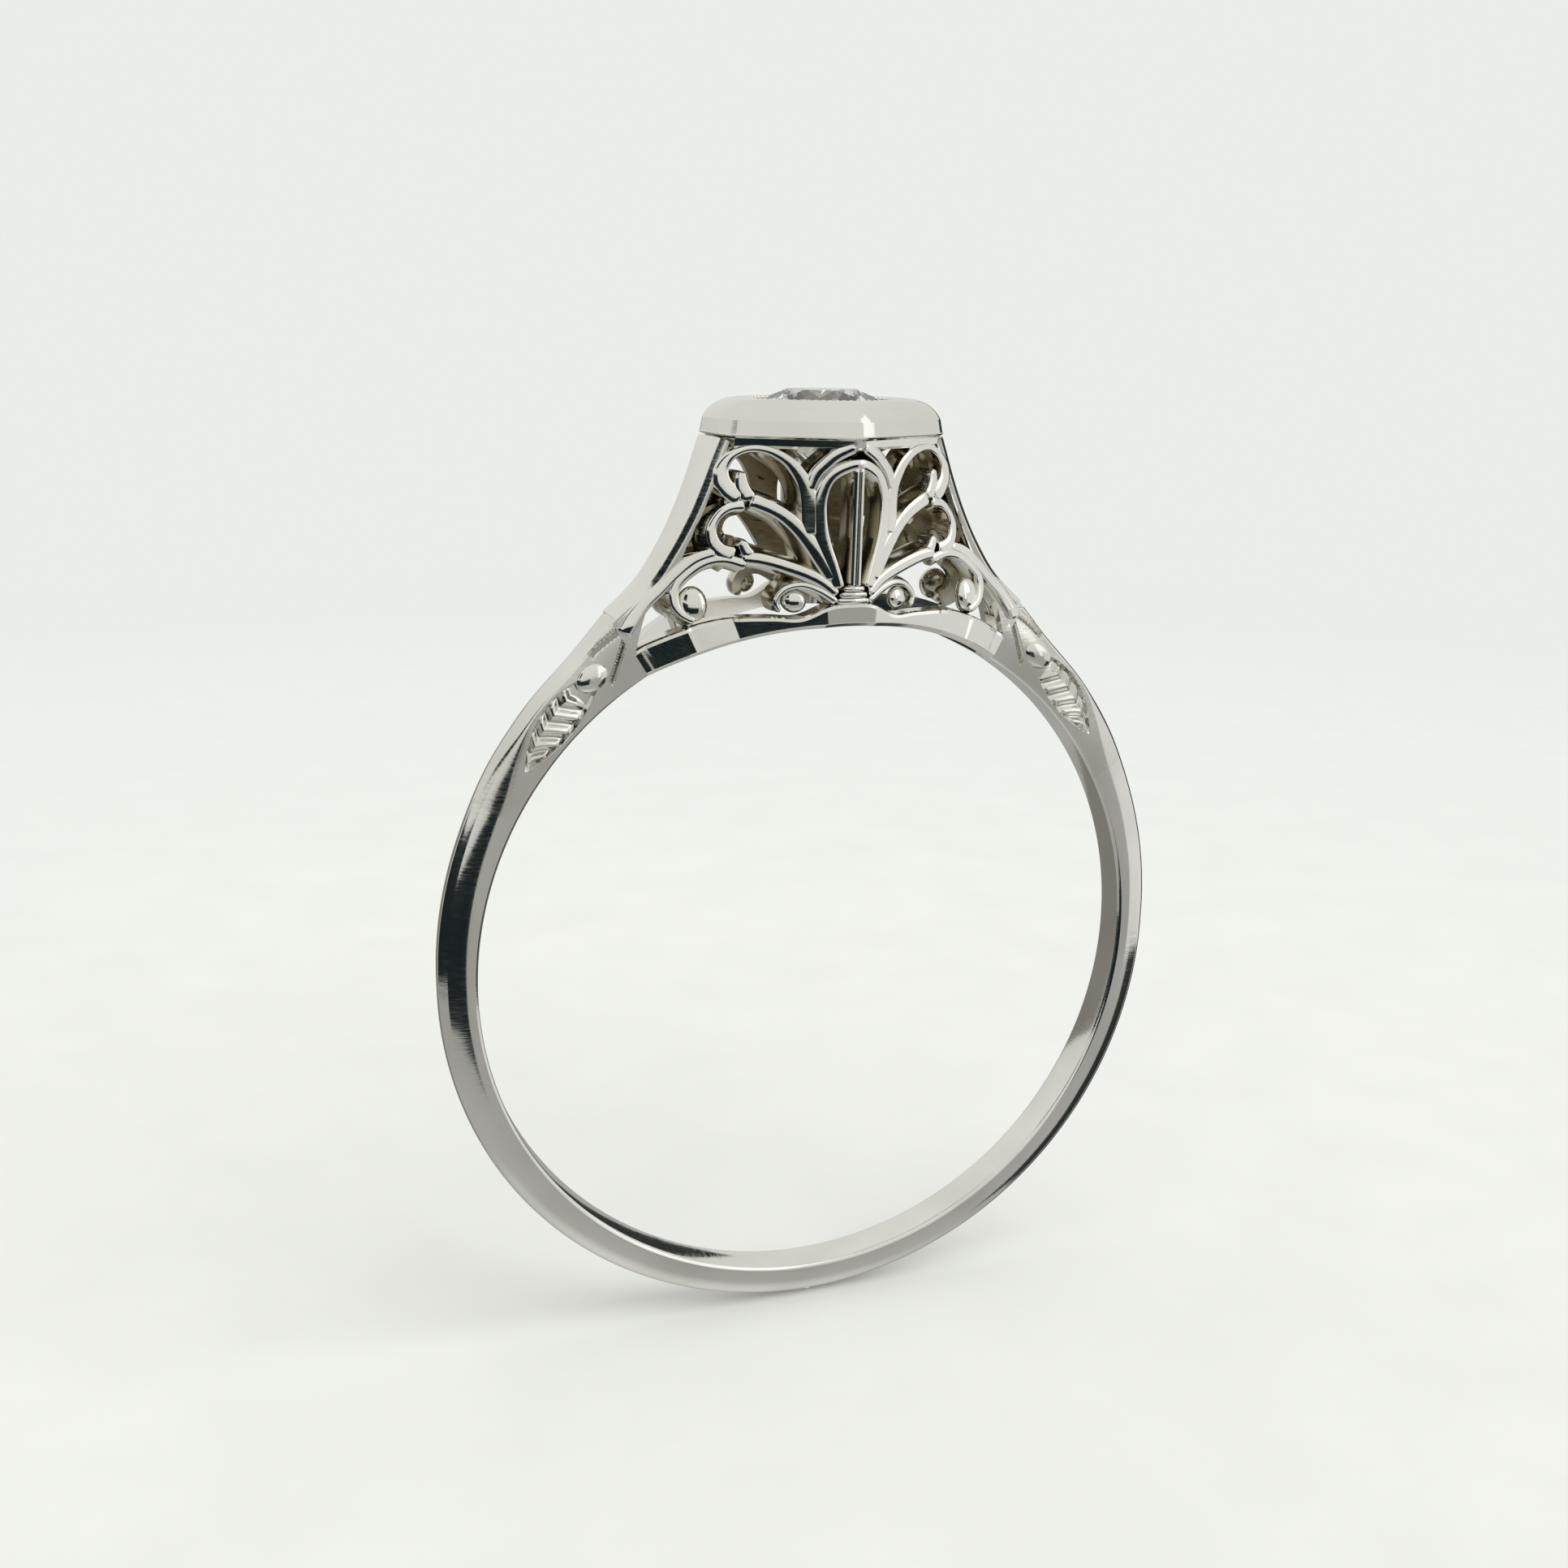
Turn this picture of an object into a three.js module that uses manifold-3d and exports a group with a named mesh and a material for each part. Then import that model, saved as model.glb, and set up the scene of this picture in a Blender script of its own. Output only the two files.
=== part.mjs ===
// Filigree engagement ring with a hexagonal head, in millimetres, +Z up.
// The origin is the centre of the finger hole, whose axis is Y. The head stands on +Z and -Y is its front.
import * as THREE from 'three';
import { mergeVertices } from 'three/addons/utils/BufferGeometryUtils.js';
import Module from 'manifold-3d';

const wasm = await Module();
wasm.setup();

// ---------------------------------------------------------------- driving dimensions
const HOLE_RADIUS = 8.5;
const BAND_RIDGE_RADIUS = 9.4;
const BAND_WIDTH = 1.0;
const BAND_CROWN = 0.6;
const SHOULDER_START = THREE.MathUtils.degToRad(62);
const SHOULDER_END = THREE.MathUtils.degToRad(31);
const SHOULDER_HALF_WIDTH = 0.6;
const SHOULDER_CROWN = 0.14;
const SOLDER_GAP = 0.02;

const HEAD_BASE_Z = 8.5;
const HEAD_BASE_DEPTH = 2.42;
const HEAD_BASE_SLOPE = 0.345;
const COLLAR_OVERHANG = 0.12;
const COLLAR_BOTTOM_Z = 12.72;
const COLLAR_TOP_Z = 13.58;
const COLLAR_BULGE = 0.05;
const COLLAR_WALL_HEIGHT = 0.4;
const COLLAR_WALL_LEAN = 0.05;
const COLLAR_DOME_ACROSS = 0.77;
const COLLAR_RIM_WIDTH = 0.12;
const COLLAR_FLAT = 2.72;
const COLLAR_VERTEX = 2.75;
const COLLAR_SLOPE = 0.61;
const CORNER_SHARPNESS = 16;

const FILIGREE_DEPTH = 0.6;
const FILIGREE_INSET = 0.04;
const STRAND_WIDTH = 0.2;
const END_SHARE = 0.7;
const SCROLL_BALL_RADIUS = 0.28;
const CURL_BALL_RADIUS = 0.24;
const WALL_THICKNESS = 0.22;
const POST_WIDTH = 0.24;

const STONE_RADIUS = 1.55;
const STONE_TABLE_RADIUS = 0.88;
const PLATE_BOTTOM_Z = 13.0;
const PLATE_TOP_Z = 13.3;
const GIRDLE_BOTTOM_Z = 13.26;
const GIRDLE_TOP_Z = 13.32;
const TABLE_Z = 13.78;
const CULET_Z = 11.9;
const GRAIN_COUNT = 6;
const GRAIN_RADIUS = 0.11;
const GRAIN_HEIGHT = 0.18;
const GRAIN_STEPS = 6;

// ---------------------------------------------------------------- materials
function metal(color, roughness) {
  return new THREE.MeshStandardMaterial({ color, roughness, metalness: 1.0 });
}
const materials = {
  band: metal(0xcfcec8, 0.12),
  shoulder: metal(0xc9c8c1, 0.16),
  filigree: metal(0xd6d5ce, 0.14),
  collar: metal(0xd2d1ca, 0.1),
  plate: metal(0xdcdbd6, 0.2),
  stone: new THREE.MeshStandardMaterial({ color: 0xf4f7fa, roughness: 0.02, metalness: 0.0 }),
};

// ---------------------------------------------------------------- outlines that several pieces share
// Ridge of the band and the shoulder: radius against the angle from the top of the ring, in degrees.
const ridgeCurve = new THREE.SplineCurve([
  new THREE.Vector2(31, 10.13),
  new THREE.Vector2(38, 9.82),
  new THREE.Vector2(47, 9.7),
  new THREE.Vector2(57, 9.64),
  new THREE.Vector2(68, 9.52),
  new THREE.Vector2(90, BAND_RIDGE_RADIUS),
]);
const ridgeSamples = ridgeCurve.getPoints(60);

function interpolate(samples, x) {
  if (x >= samples[samples.length - 1].x) return samples[samples.length - 1].y;
  const next = Math.max(1, samples.findIndex((sample) => sample.x > x));
  const [low, high] = [samples[next - 1], samples[next]];
  return THREE.MathUtils.mapLinear(x, low.x, high.x, low.y, high.y);
}

function ridgeRadius(angle) {
  const fromTop = Math.abs(THREE.MathUtils.radToDeg(angle));
  return interpolate(ridgeSamples, Math.min(fromTop, 360 - fromTop));
}

// 0 on the plain band, 1 where the shoulder meets the head.
function shoulderShare(angle) {
  const share = (SHOULDER_START - Math.abs(angle)) / (SHOULDER_START - SHOULDER_END);
  return THREE.MathUtils.clamp(share, 0, 1);
}

function bandHalfWidth(angle) {
  return THREE.MathUtils.lerp(BAND_WIDTH / 2, SHOULDER_HALF_WIDTH, shoulderShare(angle));
}

// Distance of the head's front face from the ring's middle plane, at a place in the front view.
function faceDepth(x, z) {
  const height = THREE.MathUtils.clamp((z - HEAD_BASE_Z) / (COLLAR_BOTTOM_Z - HEAD_BASE_Z), 0, 1);
  const middle = THREE.MathUtils.lerp(HEAD_BASE_DEPTH, COLLAR_VERTEX - COLLAR_OVERHANG, height);
  const slope = THREE.MathUtils.lerp(HEAD_BASE_SLOPE, COLLAR_SLOPE, height);
  return Math.max(middle - slope * Math.abs(x), SHOULDER_HALF_WIDTH);
}

// Outer line of the head's end wall in the front view, from the collar down to the shoulder.
const endWallLine = new THREE.SplineCurve([
  new THREE.Vector2(2.76, COLLAR_BOTTOM_Z - SOLDER_GAP),
  new THREE.Vector2(2.92, 12.3),
  new THREE.Vector2(3.14, 11.7),
  new THREE.Vector2(3.46, 10.95),
  new THREE.Vector2(3.86, 10.2),
  new THREE.Vector2(4.42, 9.4),
  new THREE.Vector2(5.2, 8.7),
]);

// ---------------------------------------------------------------- geometry helpers
function faceOutward(geometry) {
  const flat = geometry.index ? geometry.toNonIndexed() : geometry;
  const position = flat.attributes.position;
  const [a, b, c] = [new THREE.Vector3(), new THREE.Vector3(), new THREE.Vector3()];
  let volume = 0;
  for (let i = 0; i < position.count; i += 3) {
    a.fromBufferAttribute(position, i);
    b.fromBufferAttribute(position, i + 1);
    c.fromBufferAttribute(position, i + 2);
    volume += a.dot(b.cross(c));
  }
  if (volume > 0) return flat;
  for (let i = 0; i < position.count; i += 3) {
    b.fromBufferAttribute(position, i + 1);
    c.fromBufferAttribute(position, i + 2);
    position.setXYZ(i + 1, c.x, c.y, c.z);
    position.setXYZ(i + 2, b.x, b.y, b.z);
  }
  return flat;
}

function reshape(geometry, place) {
  const position = geometry.attributes.position;
  const point = new THREE.Vector3();
  for (let i = 0; i < position.count; i += 1) {
    point.fromBufferAttribute(position, i);
    place(point);
    position.setXYZ(i, point.x, point.y, point.z);
  }
  return faceOutward(geometry);
}

// A box bent into shape: place gets each corner as shares from 0 to 1 along the three edges.
function bentBox(stepsAlong, stepsAcross, stepsUp, place) {
  const box = new THREE.BoxGeometry(1, 1, 1, stepsAlong, stepsAcross, stepsUp);
  box.translate(0.5, 0.5, 0.5);
  return reshape(box, place);
}

function toManifold(geometry) {
  const bare = geometry.clone();
  bare.deleteAttribute('normal');
  bare.deleteAttribute('uv');
  const merged = mergeVertices(bare, 1e-4);
  return new wasm.Manifold(new wasm.Mesh({
    numProp: 3,
    vertProperties: new Float32Array(merged.attributes.position.array),
    triVerts: new Uint32Array(merged.index.array),
  }));
}

function fromManifold(manifold) {
  const mesh = manifold.getMesh();
  const geometry = new THREE.BufferGeometry();
  geometry.setAttribute('position', new THREE.BufferAttribute(mesh.vertProperties, 3));
  geometry.setIndex(new THREE.BufferAttribute(mesh.triVerts, 1));
  return geometry;
}

// Radius of the collar's rounded hexagon in plan, as a share of its flat-to-centre distance.
function hexagonShare(angle) {
  const slant = Math.hypot(1, COLLAR_SLOPE);
  const slantDistance = COLLAR_VERTEX / slant;
  const toFlat = Math.abs(Math.cos(angle)) / COLLAR_FLAT;
  const slantA = Math.abs(Math.sin(angle) + COLLAR_SLOPE * Math.cos(angle)) / slant / slantDistance;
  const slantB = Math.abs(Math.sin(angle) - COLLAR_SLOPE * Math.cos(angle)) / slant / slantDistance;
  const total = toFlat ** CORNER_SHARPNESS + slantA ** CORNER_SHARPNESS + slantB ** CORNER_SHARPNESS;
  return 1 / (COLLAR_FLAT * total ** (1 / CORNER_SHARPNESS));
}

// A turned ring whose radii grow from a circle at roundRadius to the collar's hexagon at hexRadius.
function hexagonRing(profile, roundRadius, hexRadius, steps) {
  const points = [...profile, profile[0]].map(([radius, z]) => new THREE.Vector2(radius, z));
  const ring = new THREE.LatheGeometry(points, steps);
  return reshape(ring, (point) => {
    const radius = Math.hypot(point.x, point.z);
    const angle = Math.atan2(point.z, point.x);
    const hexShare = THREE.MathUtils.clamp((radius - roundRadius) / (hexRadius - roundRadius), 0, 1);
    const scale = THREE.MathUtils.lerp(1, hexagonShare(angle), hexShare);
    point.set(point.x * scale, point.z * scale, point.y);
  });
}

// A flat strand in the front view: a curve with a width, thinner at both ends, with a ball if asked for.
function ribbon(points, width, steps, ball = null) {
  const curve = new THREE.SplineCurve(points.map(([x, z]) => new THREE.Vector2(x, z)));
  const leftSide = [];
  const rightSide = [];
  for (let i = 0; i <= steps; i += 1) {
    const share = i / steps;
    const centre = curve.getPointAt(share);
    const tangent = curve.getTangentAt(share);
    const half = (width / 2) * (END_SHARE + (1 - END_SHARE) * Math.sin(Math.PI * share));
    leftSide.push(new THREE.Vector2(centre.x - tangent.y * half, centre.y + tangent.x * half));
    rightSide.unshift(new THREE.Vector2(centre.x + tangent.y * half, centre.y - tangent.x * half));
  }
  const shape = new THREE.Shape([...leftSide, ...rightSide]);
  const strand = new THREE.ExtrudeGeometry(shape, { depth: FILIGREE_DEPTH, bevelEnabled: false });
  if (ball === null) return strand;
  const drum = new THREE.CylinderGeometry(ball.radius, ball.radius, FILIGREE_DEPTH, 16);
  drum.rotateX(Math.PI / 2).translate(ball.x, ball.z, FILIGREE_DEPTH / 2);
  return fromManifold(toManifold(strand).add(toManifold(drum)));
}

// Lays a flat strand on one half of the front face (side 1 or -1) or of the back face (front -1).
function layOnFace(flatGeometry, side, front) {
  return reshape(flatGeometry, (point) => {
    const depth = faceDepth(point.x, point.y) - FILIGREE_INSET - point.z;
    point.set(point.x * side, -front * depth, point.y);
  });
}

// ---------------------------------------------------------------- pieces
const group = new THREE.Group();

function addPiece(name, geometry, material) {
  const mesh = new THREE.Mesh(geometry, material);
  mesh.name = name;
  group.add(mesh);
}

// One step of the D-shaped section: flat inside, flat sides, domed outside.
function bandPoint(point, angle) {
  const halfWidth = bandHalfWidth(angle);
  const flattening = THREE.MathUtils.smoothstep(shoulderShare(angle), 0, 0.5);
  const crown = THREE.MathUtils.lerp(BAND_CROWN, SHOULDER_CROWN, flattening);
  const ridge = ridgeRadius(angle);
  const outer = ridge - crown * (1 - Math.sin(Math.PI * point.y));
  const radius = THREE.MathUtils.lerp(HOLE_RADIUS, outer, point.z);
  point.set(radius * Math.sin(angle), (point.y - 0.5) * 2 * halfWidth, radius * Math.cos(angle));
}

function makeShank() {
  const gapAngle = SOLDER_GAP / BAND_RIDGE_RADIUS;
  const start = SHOULDER_START + gapAngle;
  const end = 2 * Math.PI - start;
  return bentBox(52, 4, 1, (point) => {
    const angle = THREE.MathUtils.lerp(start, end, point.x);
    bandPoint(point, angle > Math.PI ? angle - 2 * Math.PI : angle);
  });
}

// The leaf-shaped recess on a shoulder's side face, as a tool that follows the face.
const LEAF_TIP_ANGLE = THREE.MathUtils.degToRad(54.5);
const LEAF_ROOT_ANGLE = THREE.MathUtils.degToRad(39.5);
const LEAF_DEPTH = 0.16;
const LEAF_HALF_WIDTH = 0.38;
const CHEVRON_COUNT = 5;
const CHEVRON_TOP = 0.05;
const CHEVRON_THICKNESS = 0.05;
const CHEVRON_SWEEP = 0.1;
const CHEVRON_REACH = 0.5;
const CHEVRON_FIRST = 0.14;
const CHEVRON_LAST = 0.7;
const LEAF_TIP_RADIUS = 8.96;
const LEAF_ROOT_RADIUS = 9.18;
const ABOVE_FACE = -0.2;
const BELOW_RECESS = 0.4;
const BEAD_ANGLE = THREE.MathUtils.degToRad(38.2);
const BEAD_CENTRE_RADIUS = 9.19;
const BEAD_SIZE = new THREE.Vector3(0.38, 0.12, 0.26);

function leafCentreRadius(share) {
  return THREE.MathUtils.lerp(LEAF_TIP_RADIUS, LEAF_ROOT_RADIUS, share);
}

function leafPoint(share, offset) {
  const angle = THREE.MathUtils.lerp(LEAF_TIP_ANGLE, LEAF_ROOT_ANGLE, share);
  const radius = leafCentreRadius(share) + offset;
  return new THREE.Vector2(radius * Math.sin(angle), radius * Math.cos(angle));
}

function leafHalfWidth(share) {
  return LEAF_HALF_WIDTH * Math.sin(Math.PI * share ** 0.75) ** 0.8;
}

function leafOutline() {
  const steps = 10;
  const upper = [];
  const lower = [];
  for (let i = 1; i < steps; i += 1) {
    const share = i / steps;
    upper.push(leafPoint(share, leafHalfWidth(share)));
    lower.unshift(leafPoint(share, -leafHalfWidth(share)));
  }
  return [leafPoint(0, 0), ...upper, leafPoint(1, 0), ...lower];
}

function chevronOutline(share) {
  const swept = share + CHEVRON_SWEEP;
  return [
    leafPoint(share, 0),
    leafPoint(swept, CHEVRON_REACH),
    leafPoint(swept + CHEVRON_THICKNESS, CHEVRON_REACH),
    leafPoint(share + CHEVRON_THICKNESS, 0),
    leafPoint(swept + CHEVRON_THICKNESS, -CHEVRON_REACH),
    leafPoint(swept, -CHEVRON_REACH),
  ];
}

// Extrudes an outline of the front view from one depth below the side face to another.
function sideFaceTool(outline, deep, shallow, side, front) {
  const shape = new THREE.Shape(outline);
  const tool = new THREE.ExtrudeGeometry(shape, { depth: 1, bevelEnabled: false });
  return toManifold(reshape(tool, (point) => {
    const angle = Math.atan2(point.x, point.y);
    const below = THREE.MathUtils.lerp(deep, shallow, point.z);
    point.set(point.x * side, -front * (bandHalfWidth(angle) - below), point.y);
  }));
}

// The oval bead that closes the recess, standing out of the side face.
function makeBead(side, front) {
  const bead = new THREE.SphereGeometry(1, 12, 8);
  bead.scale(BEAD_SIZE.x, BEAD_SIZE.y, BEAD_SIZE.z).rotateY(side * BEAD_ANGLE);
  bead.translate(
    side * BEAD_CENTRE_RADIUS * Math.sin(BEAD_ANGLE),
    -front * bandHalfWidth(BEAD_ANGLE),
    BEAD_CENTRE_RADIUS * Math.cos(BEAD_ANGLE),
  );
  return toManifold(bead);
}

function makeShoulder(side) {
  const body = bentBox(14, 4, 1, (point) => {
    bandPoint(point, side * THREE.MathUtils.lerp(SHOULDER_START, SHOULDER_END, point.x));
  });
  let shoulder = toManifold(body);
  for (const front of [1, -1]) {
    let recess = sideFaceTool(leafOutline(), LEAF_DEPTH, ABOVE_FACE, side, front);
    for (let i = 0; i < CHEVRON_COUNT; i += 1) {
      const share = THREE.MathUtils.lerp(CHEVRON_FIRST, CHEVRON_LAST, i / (CHEVRON_COUNT - 1));
      const vein = sideFaceTool(chevronOutline(share), BELOW_RECESS, CHEVRON_TOP, side, front);
      recess = recess.subtract(vein);
    }
    shoulder = shoulder.subtract(recess).add(makeBead(side, front));
  }
  return fromManifold(shoulder);
}

// Base rail: its inside follows the finger hole, its face follows the front of the head.
const RAIL_DEPTH = 0.5;
const RAIL_BEND_START = 3;
const RAIL_BEND = 0.12;
const railTopCurve = new THREE.SplineCurve([
  new THREE.Vector2(0, 8.97),
  new THREE.Vector2(3.2, 8.95),
  new THREE.Vector2(7.5, 8.76),
  new THREE.Vector2(12, 8.84),
  new THREE.Vector2(20, 9.12),
  new THREE.Vector2(31, 9.2),
]);
const railTopSamples = railTopCurve.getPoints(40);

function makeRail(front) {
  const end = SHOULDER_END - SOLDER_GAP / HOLE_RADIUS;
  return bentBox(28, 1, 1, (point) => {
    const angle = THREE.MathUtils.lerp(-end, end, point.x);
    const top = interpolate(railTopSamples, Math.abs(THREE.MathUtils.radToDeg(angle)));
    const radius = THREE.MathUtils.lerp(HOLE_RADIUS, top, point.z);
    const x = radius * Math.sin(angle);
    const bend = RAIL_BEND * Math.max(Math.abs(x) - RAIL_BEND_START, 0) ** 2;
    const face = Math.max(faceDepth(x, HEAD_BASE_Z) - bend, SHOULDER_HALF_WIDTH);
    point.set(x, -front * (face - point.y * RAIL_DEPTH), radius * Math.cos(angle));
  });
}

// A stretch of the end wall between two distances from the face, as a share of the wall's height.
function wallPoint(side, along, thickness, nearFace, farFace, across, inward) {
  const outer = endWallLine.getPointAt(along);
  const tangent = endWallLine.getTangentAt(along);
  const x = outer.x + tangent.y * thickness * inward;
  const z = outer.y - tangent.x * thickness * inward;
  const y = THREE.MathUtils.lerp(nearFace(outer), farFace(outer), across);
  return new THREE.Vector3(side * x, y, z);
}

function makePost(side, front) {
  const near = (outer) => -front * faceDepth(outer.x, outer.y);
  const far = (outer) => -front * (faceDepth(outer.x, outer.y) - POST_WIDTH);
  return bentBox(18, 1, 1, (point) => {
    point.copy(wallPoint(side, point.x, POST_WIDTH, near, far, point.y, point.z));
  });
}

function makeSidePanel(side) {
  const backEdge = (outer) => faceDepth(outer.x, outer.y) - POST_WIDTH - SOLDER_GAP;
  const frontEdge = (outer) => -backEdge(outer);
  return bentBox(18, 2, 1, (point) => {
    point.copy(wallPoint(side, point.x, WALL_THICKNESS, frontEdge, backEdge, point.y, point.z));
  });
}

// The collar's wall leans in slightly and rolls over into the rim as part of an ellipse.
const COLLAR_LIP_HEIGHT = 0.12;
const COLLAR_RIM_DROP = 0.07;
const COLLAR_OUTER = COLLAR_FLAT + COLLAR_BULGE;
const COLLAR_INNER = COLLAR_OUTER - COLLAR_WALL_LEAN - COLLAR_DOME_ACROSS - COLLAR_RIM_WIDTH;
const ROUND_OPENING = COLLAR_INNER - 0.13;
const FULL_HEXAGON = COLLAR_FLAT - 0.22;

function makeCollar() {
  const wallTop = COLLAR_BOTTOM_Z + COLLAR_WALL_HEIGHT;
  const domeOuter = COLLAR_OUTER - COLLAR_WALL_LEAN;
  const domeHeight = COLLAR_TOP_Z - wallTop;
  const profile = [
    [COLLAR_FLAT, COLLAR_BOTTOM_Z],
    [COLLAR_OUTER, COLLAR_BOTTOM_Z + COLLAR_LIP_HEIGHT],
  ];
  const domeSteps = 7;
  for (let i = 0; i <= domeSteps; i += 1) {
    const turn = (Math.PI / 2) * (i / domeSteps);
    const inward = COLLAR_DOME_ACROSS * (1 - Math.cos(turn));
    profile.push([domeOuter - inward, wallTop + domeHeight * Math.sin(turn)]);
  }
  profile.push([COLLAR_INNER, COLLAR_TOP_Z - COLLAR_RIM_DROP]);
  profile.push([COLLAR_INNER, COLLAR_BOTTOM_Z]);
  return hexagonRing(profile, ROUND_OPENING, FULL_HEXAGON, 48);
}

// Plate inside the collar, with a seat that follows the stone's pavilion.
const SEAT_CLEARANCE = 0.03;
const SEAT_TAPER = 0.26;

function makeStonePlate() {
  const outer = COLLAR_INNER - 0.04;
  const seat = STONE_RADIUS + SEAT_CLEARANCE;
  const profile = [
    [outer, PLATE_BOTTOM_Z],
    [outer, PLATE_TOP_Z],
    [seat, PLATE_TOP_Z - SOLDER_GAP],
    [seat, GIRDLE_BOTTOM_Z - SOLDER_GAP],
    [seat - SEAT_TAPER, PLATE_BOTTOM_Z],
  ];
  return hexagonRing(profile, ROUND_OPENING, FULL_HEXAGON, 48);
}

function makeDiamond() {
  const profile = [
    [0, CULET_Z],
    [STONE_RADIUS, GIRDLE_BOTTOM_Z],
    [STONE_RADIUS, GIRDLE_TOP_Z],
    [STONE_TABLE_RADIUS, TABLE_Z],
    [0, TABLE_Z],
  ];
  const points = profile.map(([radius, z]) => new THREE.Vector2(radius, z));
  return reshape(new THREE.LatheGeometry(points, 16), (point) => point.set(point.x, point.z, point.y));
}

function makeGrain(index) {
  const points = [new THREE.Vector2(0, 0)];
  for (let i = 0; i <= GRAIN_STEPS; i += 1) {
    const turn = (Math.PI / 2) * (i / GRAIN_STEPS);
    points.push(new THREE.Vector2(GRAIN_RADIUS * Math.cos(turn), GRAIN_HEIGHT * Math.sin(turn)));
  }
  const angle = ((index + 0.5) * 2 * Math.PI) / GRAIN_COUNT;
  const reach = STONE_RADIUS + GRAIN_RADIUS + SEAT_CLEARANCE;
  const foot = new THREE.Vector3(reach * Math.cos(angle), reach * Math.sin(angle), PLATE_TOP_Z + SOLDER_GAP);
  return reshape(new THREE.LatheGeometry(points, 12), (point) => {
    point.set(point.x, point.z, point.y).add(foot);
  });
}

// Strand centre lines of one half face in the front view: [across, height].
const centreLeafHalf = [[0.38, 9.44], [0.58, 9.95], [0.74, 10.5], [0.8, 11.1], [0.75, 11.6], [0.48, 12.03]];
const centreLeafLine = [
  ...centreLeafHalf.map(([x, z]) => [-x, z]),
  [0, 12.2],
  ...[...centreLeafHalf].reverse(),
];
const midribLine = [[0, 9.46], [0, 10.4], [0, 11.3], [0, 12.0]];
const archLine = [[0.97, 11.78], [0.86, 12.02], [0.68, 12.22], [0.48, 12.37], [0.24, 12.48]];
const upperLeafLine = [
  [1.02, 10.78], [1.05, 11.15], [1.08, 11.5], [1.18, 11.84], [1.42, 12.16], [1.76, 12.39], [2.15, 12.45],
  [2.5, 12.31], [2.7, 12.06], [2.72, 11.78], [2.56, 11.5],
];
const veinLine = [
  [0.8, 10.1], [0.96, 10.36], [1.12, 10.6], [1.32, 10.85], [1.56, 11.04], [1.8, 11.17], [2.04, 11.27],
  [2.2, 11.42], [2.32, 11.76],
];
const lowerLeafLine = [
  [2.4, 11.2], [2.6, 11.18], [2.82, 11.02], [2.98, 10.76], [3.0, 10.52], [2.9, 10.3], [2.7, 10.16],
];
const stemLine = [
  [0.66, 9.5], [0.86, 9.63], [1.26, 9.81], [1.66, 9.95], [2.02, 10.04], [2.24, 10.16], [2.33, 10.44],
];
const scrollLine = [
  [2.4, 9.84], [2.84, 9.93], [3.26, 9.84], [3.58, 9.57], [3.74, 9.28], [3.74, 9.0], [3.54, 8.86],
];
const scrollBall = { x: 3.42, z: 9.02, radius: SCROLL_BALL_RADIUS };
const shoulderStrandLine = [
  [3.14, 10.12], [3.5, 9.92], [3.89, 9.58], [4.19, 9.2], [4.44, 8.84], [4.66, 8.44],
];
const curlLine = [
  [0.52, 9.22], [0.84, 9.4], [1.22, 9.5], [1.56, 9.34], [1.64, 9.04], [1.42, 8.88], [1.28, 8.98],
];
const curlBall = { x: 1.25, z: 9.12, radius: CURL_BALL_RADIUS };

function addHalfFace(faceName, sideName, side, front) {
  const strands = [
    ['arch', ribbon(archLine, STRAND_WIDTH * 0.6, 8)],
    ['upper_leaf', ribbon(upperLeafLine, STRAND_WIDTH, 28)],
    ['vein', ribbon(veinLine, STRAND_WIDTH * 0.9, 16)],
    ['lower_leaf', ribbon(lowerLeafLine, STRAND_WIDTH, 14)],
    ['stem', ribbon(stemLine, STRAND_WIDTH * 0.9, 16)],
    ['scroll', ribbon(scrollLine, STRAND_WIDTH * 0.9, 20, scrollBall)],
    ['shoulder_strand', ribbon(shoulderStrandLine, STRAND_WIDTH * 0.65, 14)],
    ['curl', ribbon(curlLine, STRAND_WIDTH * 0.6, 20, curlBall)],
  ];
  for (const [name, strand] of strands) {
    addPiece(`${faceName}_${sideName}_${name}`, layOnFace(strand, side, front), materials.filigree);
  }
}

// Straight strip under the collar that the leaves lean on.
const TOP_RAIL_REACH = 2.38;
const TOP_RAIL_BOTTOM = 12.57;
const TOP_RAIL_TOP = COLLAR_BOTTOM_Z - SOLDER_GAP;

function makeTopRail(front) {
  return bentBox(12, 1, 1, (point) => {
    const x = THREE.MathUtils.lerp(-TOP_RAIL_REACH, TOP_RAIL_REACH, point.x);
    const z = THREE.MathUtils.lerp(TOP_RAIL_BOTTOM, TOP_RAIL_TOP, point.z);
    const depth = faceDepth(x, z) - FILIGREE_INSET - point.y * FILIGREE_DEPTH;
    point.set(x, -front * depth, z);
  });
}

// Block on the base rail from which the leaves rise.
const LOTUS_WIDTH = 0.78;
const LOTUS_HEIGHT = 0.26;
const LOTUS_CENTRE_Z = 9.15;

function makeLotusBase(front) {
  const block = new THREE.BoxGeometry(LOTUS_WIDTH, LOTUS_HEIGHT, FILIGREE_DEPTH, 2, 1, 1);
  block.translate(0, LOTUS_CENTRE_Z, FILIGREE_DEPTH / 2);
  return layOnFace(block, 1, front);
}

// ---------------------------------------------------------------- assembly
const sides = [['left', -1], ['right', 1]];
const faces = [['front', 1], ['back', -1]];

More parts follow.
